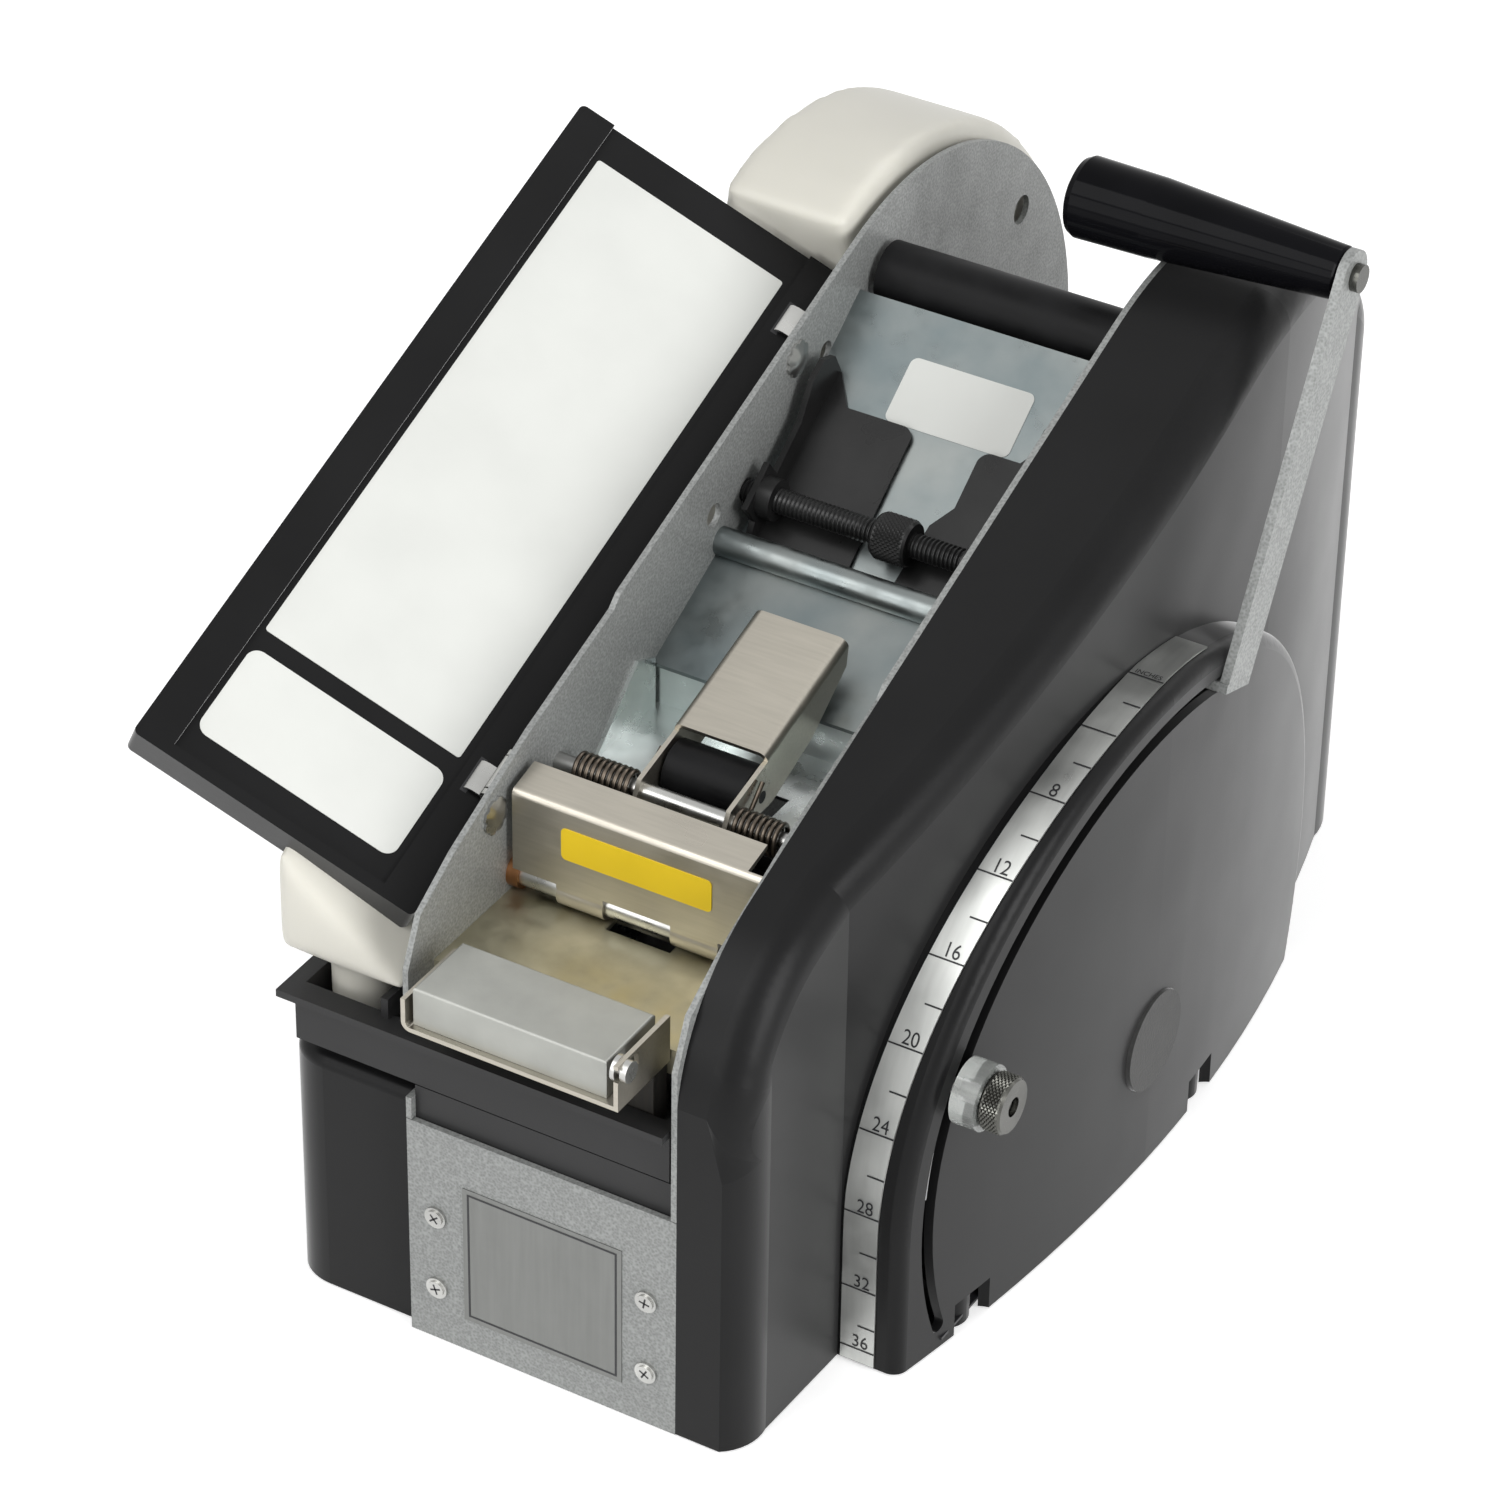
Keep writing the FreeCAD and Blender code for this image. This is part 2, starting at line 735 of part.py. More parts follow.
def strip_plan(name, inset):
    """Plan of the scale's long edge, from the housing's front to its rear."""
    owner = body(name)
    pad(owner, "XY", 0, [[
        (outer - 1, boss_low - 10),
        (strip_front_x - inset, boss_low - 10),
        (strip_front_x - inset, boss_low),
        (strip_rear_x - inset, pivot_y, strip_bow),
        (strip_rear_x - inset, pivot_y + boss_radius),
        (outer - 1, pivot_y + boss_radius),
    ]], pivot_z + boss_radius + 10)
    return owner


strip_in = boss_radius + seat_gap
strip_out = strip_in + strip_thickness
strip_ring = body("strip_band")
pad(strip_ring, "YZ", outer + 20, [[
    (pivot_y - strip_out, strip_foot),
    (pivot_y - strip_out, pivot_z),
    polar(strip_out, strip_top) + (-strip_out,),
    polar(strip_in, strip_top),
    (pivot_y - strip_in, pivot_z, strip_in),
    (pivot_y - strip_in, strip_foot),
]], boss_face - outer)
strip = cut("strip", common("strip", strip_ring, strip_plan("strip_edge", 0)),
            strip_plan("strip_inner", strip_width), side_prism("strip_side", -seat_gap))
node(strip, "scale_strip")

# ---- crank --------------------------------------------------------------------------------------
arm_x = boss_face + 0.6
leg_x = boss_face - 27
crank_shaft = fuse("crank_shaft",
                   cylinder("crank_journal", 8, leg_x - half_gap + 12, half_gap - 12, pivot_y, pivot_z),
                   cylinder("crank_collar", 14, leg_x - outer - 2, outer + 2, pivot_y, pivot_z))
node(crank_shaft, "crank_shaft")

web_low = arm_angle - arm_web / 2
web_high = arm_angle + arm_web / 2
web_in = slot_radius - arm_thickness / 2
web_out = slot_radius + arm_thickness / 2
web = ring_sector("crank_web", web_in, web_out, web_low, web_high, leg_x, arm_x + arm_thickness - leg_x)
reach_y = grip_y - polar(slot_radius, arm_angle)[0]
reach_z = grip_z - polar(slot_radius, arm_angle)[1]
reach = root(reach_y * reach_y + reach_z * reach_z)
half_arm = arm_width / 2
bar = body("crank_bar")
pad(bar, "YZ", arm_x, [[
    polar(web_in, web_low),
    (grip_y - half_arm * reach_z / reach, grip_z + half_arm * reach_y / reach),
    (grip_y + half_arm * reach_z / reach, grip_z - half_arm * reach_y / reach),
    polar(web_in, web_high),
]], arm_thickness)
leg = body("crank_leg")
pad(leg, "YZ", leg_x, [[
    polar(web_out, web_low),
    polar(web_out, web_high) + (-web_out,),
    polar(14, arm_angle + 60),
    polar(14, arm_angle - 60),
]], arm_thickness)
hub = cylinder("crank_hub", 14, arm_thickness, leg_x, pivot_y, pivot_z)
eye = cylinder("crank_eye", half_arm, arm_thickness, arm_x, grip_y, grip_z)
arm_blank = fuse("crank_arm", web, bar, leg, hub, eye)
grip_bore = cylinder("arm_bore", axle + clearance, arm_thickness + 2, arm_x - 1, grip_y, grip_z)
node(cut("crank_arm", arm_blank, grip_bore), "crank_arm")

grip_end = arm_x - seat_gap
grip_start = grip_end - grip_length
handle = body("grip")
handle_sketch = sketch(handle, "XY", grip_z, [[
    (grip_start, 0),
    (grip_start, grip_big - 3),
    (grip_start + 1, grip_big - 1),
    (grip_start + 3, grip_big),
    (grip_start + 27, grip_big - 0.4),
    (grip_end - 1, grip_small),
    (grip_end, grip_small - 1),
    (grip_end, 0),
]])
bind(handle_sketch, "AttachmentOffset.Base.y", grip_y)
turned = handle.newObject("PartDesign::Revolution", "grip_revolution")
turned.Profile = handle_sketch
turned.ReferenceAxis = (handle_sketch, ["H_Axis"])
turned.Angle = 360
grip_core = cylinder("grip_core", axle + clearance, 40, grip_end - 39, grip_y, grip_z)
node(cut("grip", handle, grip_core), "grip")

pin_head = cylinder("grip_screw_head", 4.4, 2.6, arm_x + arm_thickness, grip_y, grip_z)
pin = cylinder("grip_screw_pin", axle, 38 + arm_thickness, grip_end - 38 + seat_gap, grip_y, grip_z)
node(fuse("grip_screw", pin_head, pin), "grip_screw")

# ---- length stop --------------------------------------------------------------------------------
stop_y, stop_z = polar(slot_radius, stop_angle)
near_y, near_z = polar(slot_radius, stop_angle + stop_rise)
stop_x = face_x(near_y + stop_ring) + clearance
ring_length = 8.0
nut_length = 7.5
bolt = fuse("stop_bolt",
            cylinder("stop_head", 6, 3, stop_x - 12.5, stop_y, stop_z),
            cylinder("stop_stud", stud, ring_length + nut_length + 8, stop_x - 9.5, stop_y, stop_z))
node(bolt, "stop_bolt")
ring = cut("stop_ring", cylinder("stop_ring_out", stop_ring, ring_length, stop_x, stop_y, stop_z),
           cylinder("stop_ring_in", stud + clearance, ring_length + 2, stop_x - 1, stop_y, stop_z))
node(ring, "stop_bushing")
nut_x = stop_x + ring_length + seat_gap
nut = cut("stop_nut", cylinder("stop_nut_out", stop_nut_radius, nut_length, nut_x, stop_y, stop_z),
          cylinder("stop_nut_in", stud + clearance, nut_length + 2, nut_x - 1, stop_y, stop_z))
node(nut, "stop_nut")

# ---- tape path ----------------------------------------------------------------------------------
axle_bar = across("roller_axle", axle, plate, roller_y, roller_z)
axle_bar.Label = "roller_axle"
nodes.append(axle_bar)
bind(axle_bar, "Placement.Base.y", roller_y - depth / 2)
roller = cut("top_roller", across("top_roller_out", roller_radius, -2.4, roller_y, roller_z),
             across("top_roller_in", axle + clearance, 2, roller_y, roller_z))
node(roller, "top_roller")


def slope_point(along, above):
    """Point on the back plate: along it from its upper edge, and above it."""
    return (back_y - along * cosine(back_slope) - above * sine(back_slope),
            back_z - along * sine(back_slope) + above * cosine(back_slope))


def slope_loop(points):
    return [slope_point(*p) for p in points]


back = body("back_plate")
pad(back, "YZ", -half_gap, [slope_loop([
    (0, 0), (0, -sheet_metal), (back_length, -sheet_metal), (back_length, 0)])], tape_gap)
node(back, "back_plate")
back_label = body("back_label")
pad(back_label, "YZ", -18, [slope_loop([(15.6, 0), (15.6, label), (38, label), (38, 0)])], 43)
node(back_label, "back_label")

rod = across("guide_rod", axle, plate, rod_y, rod_z)
rod.Label = "guide_rod"
nodes.append(rod)
bind(rod, "Placement.Base.y", rod_y - depth / 2)
wheel_x = 2.0
wheel = cut("thumbwheel", cylinder("thumbwheel_out", wheel_radius, wheel_width, wheel_x, rod_y, rod_z),
            cylinder("thumbwheel_in", axle + clearance, wheel_width + 2, wheel_x - 1, rod_y, rod_z))
node(wheel, "thumbwheel")
foot_top = seat_gap + 1


def guide(name, side):
    """Tape guide: an upright cheek with a boss on the rod and a foot on the back plate."""
    low = guide_x if side > 0 else -guide_x - guide_wall
    cheek = body(name + "_cheek")
    pad(cheek, "YZ", low, [slope_loop([
        (27, seat_gap), (26, 8), (30, 13.4), (38, 14), (50, 9), (68, 9),
        (68, 16.5), (84.5, 16.5), (84.5, 8), (93, 4), (93, seat_gap)])], guide_wall)
    boss = cylinder(name + "_boss", axle + 2.6, guide_wall + 5, low - (0 if side > 0 else 0), rod_y, rod_z)
    if side > 0:
        bind(boss, "Placement.Base.x", low - 5)
    foot = body(name + "_foot")
    reach_in = guide_x - 9
    span = [
        (side * guide_x, 28), (side * (guide_x - 1), 28), (side * (guide_x - reach_in * 0.9), 66),
        (side * (guide_x - reach_in), 92), (side * guide_x, 92)]
    foot_sketch = sketch(foot, "XY", 0, [[(x, -along) for x, along in span]])
    pad_of = foot.newObject("PartDesign::Pad", name + "_foot_pad")
    pad_of.Profile = foot_sketch
    bind(pad_of, "Length", 1)
    lean = FreeCAD.Rotation(FreeCAD.Vector(1, 0, 0), back_slope.number)
    at_y, at_z = slope_point(0, seat_gap)
    foot.Placement = FreeCAD.Placement(FreeCAD.Vector(0, at_y.number, at_z.number), lean)
    bored = cut(name, fuse(name, cheek, boss, foot),
                across(name + "_bore", axle + clearance, 2, rod_y, rod_z))
    node(bored, name)
    flap = body(name + "_flap")
    start = -guide_x if side < 0 else guide_x - flap_length * 0.52
    reach_flap = guide_x - 6 if side < 0 else flap_length * 0.52
    pad(flap, "YZ", start, [slope_loop([
        (38.5, foot_top), (38.5, foot_top + film), (91, foot_top + film), (91, foot_top)])], reach_flap)
    fillet(flap, 4, lambda e: abs(e.BoundBox.XMin - (start + (reach_flap if side < 0 else 0)).number)
           < 0.01 and e.BoundBox.XLength < 0.01 and e.Length < 1 and e.BoundBox.ZMin > 200)
    node(flap, name + "_flap")


guide("guide_left", -1)
guide("guide_right", 1)

curl_slope = 0.512


def curl_line(y, down=0):
    return curl_z - 3 - (curl_y - 1.6 - y) * curl_slope - down


pan_back = feed_y + 38
curl_plate = body("curl_sheet")
pad(curl_plate, "YZ", -half_gap, [[
    (pan_back - 1, curl_line(pan_back - 1)),
    (pan_back - 1, curl_line(pan_back - 1, sheet_metal)),
    (curl_y - 1.6, curl_line(curl_y - 1.6, sheet_metal)),
    (curl_y - 1.6, curl_line(curl_y - 1.6)),
]], tape_gap)
curl = cut("curl", across("curl_tube", curl_radius, 0, curl_y, curl_z),
           across("curl_hollow", curl_radius - sheet_metal, 1, curl_y, curl_z))
node(fuse("rolled_feed_plate", curl_plate, curl), "rolled_feed_plate")

pan_z = feed_z + feed_radius - 0.4
pan = body("feed_pan")
pan_top = curl_line(pan_back, sheet_metal + 0.3)
pad(pan, "YZ", -half_gap, [[
    (feed_y - 9, pan_z - sheet_metal), (pan_back + sheet_metal, pan_z - sheet_metal),
    (pan_back + sheet_metal, pan_top), (pan_back, pan_top), (pan_back, pan_z), (feed_y - 9, pan_z)]],
    tape_gap)
cheek_back = pan_back - 1 - seat_gap
cheek_loop = [(feed_y + 3, pan_z - 0.2), (cheek_back, pan_z - 0.2), (cheek_back, pan_z + 17),
              (pan_back - 11, pan_z + 21)]
pad(pan, "YZ", -half_gap, [cheek_loop], sheet_metal)
pad(pan, "YZ", half_gap - sheet_metal, [cheek_loop], sheet_metal)
gate = press_width / 2 + 3
pocket(pan, "XY", pan_z + 1, [[
    (-gate, feed_y - 10), (gate, feed_y - 10), (gate, feed_y + feed_radius + 3),
    (-gate, feed_y + feed_radius + 3)]], 4)
node(pan, "feed_pan")

feed = fuse("feed_roller",
            cylinder("feed_drum", feed_radius, press_width + 2, -press_width / 2 - 1, feed_y, feed_z),
            across("feed_axle", axle, plate, feed_y, feed_z))
node(feed, "feed_roller")

press_z = feed_z + feed_radius + tape_gap_z + press_radius
press = fuse("pressure_roller",
             cylinder("press_drum", press_radius, press_width, -press_width / 2, feed_y, press_z),
             cylinder("press_axle", 2, channel_width, -channel_width / 2, feed_y, press_z))
node(press, "pressure_roller")

spring_bar = across("spring_shaft", spring_shaft_radius, plate, spring_y, spring_z)
spring_bar.Label = "spring_shaft"
nodes.append(spring_bar)
bind(spring_bar, "Placement.Base.y", spring_y - depth / 2)

nose_y = spring_y + 9
nose_z = spring_z + 11
slip = channel_width / 2


def channel_point(along, above):
    return (nose_y + along * cosine(channel_slope) - above * sine(channel_slope),
            nose_z + along * sine(channel_slope) + above * cosine(channel_slope))


arm = body("pressure_channel")
ear = spring_shaft_radius + 2.6
pad(arm, "YZ", -slip, [[
    channel_point(0, 0),
    channel_point(channel_length, 0),
    channel_point(channel_length - 3, -9),
    channel_point(channel_length * 0.55, -17),
    (feed_y + 6, press_z - 5),
    (spring_y + 2, spring_z - ear),
    (spring_y - ear, spring_z - 1),
    (spring_y - 2, spring_z + ear),
]], channel_width)
pocket(arm, "YZ", slip - channel_wall, [[
    channel_point(-30, -channel_wall),
    channel_point(channel_length + 5, -channel_wall),
    channel_point(channel_length + 5, -50),
    channel_point(-30, -50),
]], channel_width - 2 * channel_wall)
pocket(arm, "YZ", slip, [
    (spring_y, spring_z, spring_shaft_radius + clearance),
    (feed_y, press_z, 2 + clearance)], channel_width)
node(arm, "pressure_channel")


def spring(name, low, length):
    """Torsion spring, close wound: a tube about the shaft."""
    owner = body(name)
    inside = spring_shaft_radius + 0.2
    points = [(low, inside), (low, coil_radius), (low + length, coil_radius), (low + length, inside)]
    sk = sketch(owner, "XY", spring_z, [points])
    bind(sk, "AttachmentOffset.Base.y", spring_y)
    coil = owner.newObject("PartDesign::Revolution", name + "_coils")
    coil.Profile = sk
    coil.ReferenceAxis = (sk, ["H_Axis"])
    coil.Angle = 360
    node(owner, name)


spring("spring_left", -slip - 21.5, 21)
spring("spring_right", slip + 0.5, 17)

# ---- cutter -------------------------------------------------------------------------------------
shear_bar = across("shear_shaft", axle, plate, shear_y, shear_z)
shear_bar.Label = "shear_shaft"
nodes.append(shear_bar)
bind(shear_bar, "Placement.Base.y", shear_y - depth / 2)
bush = cut("shaft_bush", cylinder("bush_out", barrel_radius, 4, -half_gap, shear_y, shear_z),
           cylinder("bush_in", axle + clearance, 6, -half_gap - 1, shear_y, shear_z))
node(bush, "shaft_bush")

guard_low = shear_z + 4
guard = body("blade_guard_sheet")
pad(guard, "YZ", -42, [[
    (guard_y, guard_low), (guard_y, guard_top), (guard_y + guard_flange, guard_top + 3),
    (guard_y + guard_flange, guard_top + 3 - guard_sheet), (guard_y + guard_sheet, guard_top - guard_sheet),
    (guard_y + guard_sheet, guard_low)]], 85)
pocket(guard, "XY", guard_top + 4, [[
    (37, guard_y + guard_sheet), (44, guard_y + guard_sheet),
    (44, guard_y + guard_flange + 1), (37, guard_y + guard_flange + 1)]], 8)
knuckles = []
for index, (low, length) in enumerate(((-27, 16), (12, 16))):
    owner = body("knuckle_%d" % index)
    pad(owner, "YZ", low, [[
        (guard_y, guard_low + 3), (guard_y + guard_sheet, guard_low + 3), (shear_y, shear_z + barrel_radius),
        (shear_y, shear_z - barrel_radius), (shear_y - 3, shear_z - barrel_radius + 1.4),
        (guard_y, guard_low - 1)]], length)
    knuckles.append(owner)
    knuckles.append(cylinder("barrel_%d" % index, barrel_radius, length, low, shear_y, shear_z))
guard_all = cut("blade_guard", fuse("blade_guard", guard, *knuckles),
                across("guard_bore", axle + clearance, 2, shear_y, shear_z))
node(guard_all, "blade_guard")
guard_label = box("guard_label", 51, label, 11, -25, guard_y - label, guard_low + 10.2)
guard_label.Label = "guard_label"
nodes.append(guard_label)
bind(guard_label, "Placement.Base.y", guard_y - label - depth / 2)
upper = body("upper_blade")
pad(upper, "YZ", -38, [[
    (guard_y + guard_sheet, guard_low + 6), (guard_y + guard_sheet, guard_top - 5),
    (guard_y + guard_sheet + 2, guard_top - 5), (guard_y + guard_sheet + 2, guard_low + 8)]], 76)
node(upper, "upper_blade")
lower = box("lower_blade", tape_gap, 3, 22, -half_gap, shear_y + barrel_radius + 0.4, table_z - 17)
lower.Label = "lower_blade"
nodes.append(lower)
bind(lower, "Placement.Base.y", shear_y + barrel_radius + 0.4 - depth / 2)

table = body("tape_table")
table_back = shear_y + barrel_radius + 0.4
pad(table, "YZ", -half_gap, [[
    (table_front, table_z - 9), (table_front + 1.5, table_z - 9), (table_front + 1.5, table_z - 1.5),
    (table_back, table_z - 1.5), (table_back, table_z), (table_front, table_z)]], tape_gap)
pocket(table, "XY", table_z, [[
    (-10, shear_y - 5), (12, shear_y - 5), (12, shear_y + 1), (-10, shear_y + 1)]], 1.5)
node(table, "tape_table")

# ---- weight -------------------------------------------------------------------------------------
bracket = body("weight_bracket")
sheet_z = bracket_z + guard_sheet
pad(bracket, "XZ", -weight_half, [[
    (-37, bracket_z + 3), (-34, bracket_z, 3), (36, bracket_z), (36, bracket_z + 16),
    (36 - guard_sheet, bracket_z + 16), (36 - guard_sheet, sheet_z), (-34, sheet_z),
    (-37 + guard_sheet, bracket_z + 3, -1.5), (-37 + guard_sheet, bracket_z + 11),
    (-37, bracket_z + 11)]], weight_half * 2 + 2)
pin_y = 2 - weight_half
pin_z = bracket_z + 12.5
pocket(bracket, "YZ", 37, [[
    (pin_y - 5, pin_z - 2.2), (pin_y + 7, pin_z - 2.2), (pin_y + 7, pin_z + 2.2), (pin_y - 5, pin_z + 2.2)]],
    guard_sheet + 2)
node(bracket, "weight_bracket")
block = body("weight_block")
pad(block, "XY", sheet_z + 0.1, [[
    (-34, -weight_half), (31, -weight_half), (31, weight_half), (-34, weight_half)]],
    weight_z + weight_height - sheet_z - 0.1)
fillet(block, 0.8, lambda e: e.BoundBox.ZMin > sheet_z.number + 3)
node(block, "weight_block")
screw = fuse("weight_screw",
             cylinder("weight_screw_head", 3.4, 2, 36, pin_y, pin_z),
             cylinder("weight_screw_shank", 2, 4, 33, pin_y, pin_z),
             cylinder("weight_screw_nut", 4, 1.4, 36 - guard_sheet - 1.4, pin_y, pin_z))
node(screw, "weight_screw")

# ---- water tank, brush and holder ---------------------------------------------------------------
tank_left = -outer - tank_width + 3
tank_front = plate + seat_gap + 0.1
tank_low = tank_rim_z - tank_height
tank = body("water_tank")
pad(tank, "XY", tank_low, [[
    (tank_left, tank_front), (half_gap - 2, tank_front),
    (half_gap - 2, tank_depth), (tank_left, tank_depth)]], tank_height)
pad(tank, "XY", tank_rim_z - rim_thickness, [[
    (tank_left - rim_width, -rim_width), (half_gap - 1.2, -rim_width), (half_gap - 1.2, tank_depth),
    (tank_left - rim_width, tank_depth)]], rim_thickness)
baffle = -outer - 7
pad(tank, "XY", tank_rim_z - 2, [[
    (baffle - tank_wall, tank_front), (baffle, tank_front),
    (baffle, tank_depth), (baffle - tank_wall, tank_depth)]], 9)
bay_front = tank_front + tank_wall
bay_back = tank_depth - tank_wall
for low, high in ((tank_left + tank_wall, baffle - tank_wall), (baffle, half_gap - 2 - tank_wall)):
    pocket(tank, "XY", tank_rim_z + 7.5, [[
        (low, bay_front), (high, bay_front),
        (high, bay_back), (low, bay_back)]], tank_height - tank_wall + 7.5)
pocket(tank, "XY", tank_low + 11, [[
    (baffle - tank_wall - 1, 24), (baffle + 1, 24),
    (baffle + 1, 40), (baffle - tank_wall - 1, 40)]], 11 - tank_wall)
node(tank, "water_tank")

brush_low = tank_low + tank_wall
brush = box("brush_block", 76, 22, 12, -38, bay_front + 0.3, brush_low)
brush.Label = "brush_block"
nodes.append(brush)
bind(brush, "Placement.Base.y", bay_front + 0.3 - depth / 2)
bristle_y = bay_front + 0.8
bristles = box("brush_bristles", 70, table_front - 0.6 - bristle_y, bracket_z - 0.8 - brush_low - 12,
               -35, bristle_y, brush_low + 12)
bristles.Label = "brush_bristles"
nodes.append(bristles)
bind(bristles, "Placement.Base.y", bristle_y - depth / 2)

holder = body("tank_holder")
holder_top = tank_low - seat_gap
holder_back = tank_depth + 6
pad(holder, "YZ", -half_gap, [[
    (base_front, panel_height - 20), (base_front + tank_wall, panel_height - 20),
    (base_front + tank_wall, holder_top - tank_wall), (holder_back - tank_wall, holder_top - tank_wall),
    (holder_back - tank_wall, panel_height - 20), (holder_back, panel_height - 20),
    (holder_back, holder_top), (base_front, holder_top)]], tape_gap)
node(holder, "tank_holder")

# ---- lid ----------------------------------------------------------------------------------------
tilt = FreeCAD.Rotation(FreeCAD.Vector(1, 0, 0), slope.number)
swing = FreeCAD.Rotation(FreeCAD.Vector(0, 1, 0), -(180 - lid_angle.number))


def on_plates(x, along, drop):
    """Point beside the plates: along their sloping top from the front, and below it."""
    down = size(drop)
    y = along * cosine(slope) + down * sine(slope)
    z = top_line(0) + along * sine(slope) - down * cosine(slope)
    return x, y, z


def seat_at(obj, x, along, drop, turn):
    x, y, z = on_plates(x, along, drop)
    obj.Placement = FreeCAD.Placement(FreeCAD.Vector(), turn)
    for axis, value in (("x", x), ("y", y), ("z", z)):
        bind(obj, "Placement.Base." + axis, value)
    return obj


def seat_node(obj, name, x, along, drop, turn):
    seat_at(obj, x, along, drop, turn)
    obj.Label = name
    bind(obj, "Placement.Base.y", on_plates(x, along, drop)[1] - depth / 2)
    nodes.append(obj)
    return obj


lid_turn = tilt.multiply(swing)
lid = body("lid_tray")
lid_loop = [(0, 0), (lid_width, 0), (lid_width, lid_length), (0, lid_length)]
pad(lid, "XY", 0, [lid_loop], lid_depth)


def lid_corner(edge):
    return edge.BoundBox.XLength + edge.BoundBox.YLength < 0.01


fillet(lid, 2, lid_corner)
inset_loop = [(lid_rim, lid_lip), (lid_width - lid_rim, lid_lip),
              (lid_width - lid_rim, lid_length + 1), (lid_rim, lid_length + 1)]
pocket(lid, "XY", lid_recess, [inset_loop], lid_recess)
seat_node(lid, "lid_tray", -lid_out, lid_start, lid_drop, lid_turn)


def lid_sticker(name, low, high, corner):
    """Bare label on the floor between the lid's rails."""
    owner = body(name)
    pad(owner, "XY", lid_recess - label, [[
        (lid_rim + 2.5, low), (lid_width - lid_rim - 2, low), (lid_width - lid_rim - 2, high),
        (lid_rim + 2.5, high)]], label)
    fillet(owner, corner, lid_corner)
    seat_node(owner, name, -lid_out, lid_start, lid_drop, lid_turn)


small_high = lid_lip + 41
lid_sticker("lid_label_small", lid_lip + 8.5, small_high, 4)
lid_sticker("lid_label_large", small_high + 6.5, lid_length - lid_rim - 0.5, 1)

along_slope = tilt.multiply(TURNS["Y"])
strap_length = 12.0
knuckle_wall = 1.2
lid_origin = FreeCAD.Vector(*(value.number for value in map(size, on_plates(-lid_out, lid_start, lid_drop))))


def hinge(name, along):
    """Leaf and knuckle on the left plate."""
    leaf = box(name + "_leaf", 1, strap_length, 10, 0, 0, 0)
    seat_at(leaf, -outer - 1, along, hinge_drop + 6, tilt)
    knuckle = cylinder(name + "_knuckle", hinge_pin + knuckle_wall, strap_length, 0, 0, 0, "Y")
    seat_at(knuckle, -hinge_x, along, hinge_drop, along_slope)
    bore = cylinder(name + "_bore", hinge_pin + clearance, strap_length + 2, 0, 0, 0, "Y")
    seat_at(bore, -hinge_x, along - 1, hinge_drop, along_slope)
    node(cut(name, fuse(name, leaf, knuckle), bore), name)


def on_lid(obj, x, y, z, turn=None):
    """Set a piece by the lid's own axes: across, along and out of its back."""
    spot = FreeCAD.Placement(FreeCAD.Vector(x, y, z), turn or FreeCAD.Rotation())
    for axis in ("x", "y", "z"):
        obj.setExpression("Placement.Base." + axis, None)
    obj.Placement = FreeCAD.Placement(lid_origin, lid_turn).multiply(spot)
    return obj


def strap(name, along):
    """Pin and strap on the lid's edge, on the same axis as the plate's knuckle."""
    start = along - lid_start.number
    out, up = lid_out.number - hinge_x.number, lid_drop.number - hinge_drop.number
    turn = math.radians(lid_angle.number)
    axis_x = up * math.sin(turn) - out * math.cos(turn)
    axis_z = -out * math.sin(turn) - up * math.cos(turn)
    span = strap_length + 5
    low = start - 2.5
    pin = cylinder(name + "_pin", hinge_pin, span, 0, 0, 0, "Y")
    pieces = [on_lid(pin, axis_x, low, axis_z, TURNS["Y"])]
    for index, at in enumerate((low, low + span - 2)):
        pieces.append(on_lid(cylinder(name + "_eye_%d" % index, hinge_pin + knuckle_wall, 2, 0, 0, 0, "Y"),
                             axis_x, at, axis_z, TURNS["Y"]))
        pieces.append(on_lid(box(name + "_tab_%d" % index, axis_x + 2, 2, 3 - axis_z, 0, 0, 0),
                             -1, at, axis_z))
    pieces.append(on_lid(box(name + "_plate", 1, span, 5.5, 0, 0, 0), -1, low, 2))
    strap_all = cut(name, fuse(name, *pieces), lid_blank)
    node(strap_all, name)


lid_blank = body("lid_blank")
pad(lid_blank, "XY", 0, [lid_loop], lid_depth)
seat_at(lid_blank, -lid_out, lid_start, lid_drop, lid_turn)
for end, along in (("front", 51), ("rear", 239)):
    hinge("hinge_" + end, along)
    strap("lid_strap_" + end, along)

# ---- bottle -------------------------------------------------------------------------------------
lid_space = body("lid_space")
space_loop = [(-40, -40), (lid_width + 60, -40), (lid_width + 60, lid_length + 3), (-40, lid_length + 3)]
pad(lid_space, "XY", -150, [space_loop], lid_depth + seat_gap + 150)
seat_at(lid_space, -lid_out, lid_start, lid_drop, lid_turn)
bottle_low = cover_height + seat_gap
low_drop = drum_z - bottle_low
shoulder_y = drum_y - 24
shoulder_rise = root(bottle_radius * bottle_radius - 24 * 24)
bottle = body("water_bottle")
bottle_x = -outer - 3
lobe_low = tank_rim_z + 9
pad(bottle, "YZ", bottle_x, [[
    (4, lobe_low),
    (tank_depth + 3, lobe_low),
    (tank_depth + 8, bottle_low),
    (drum_y - root(bottle_radius * bottle_radius - low_drop * low_drop), bottle_low),
    (drum_y + bottle_radius, drum_z, bottle_radius),
    (shoulder_y, drum_z + shoulder_rise, bottle_radius),
    (4, top_line(4) + 4),
]], bottle_width, reverse=True)
bottle_cut = cut("bottle_cut", bottle, lid_space)
neck = cylinder("bottle_neck", neck_radius, lobe_low - tank_low - 6.5, -neck_x, neck_y, tank_low + 7, "Z")
node(fuse("water_bottle", bottle_cut, neck), "water_bottle")
doc.recompute()

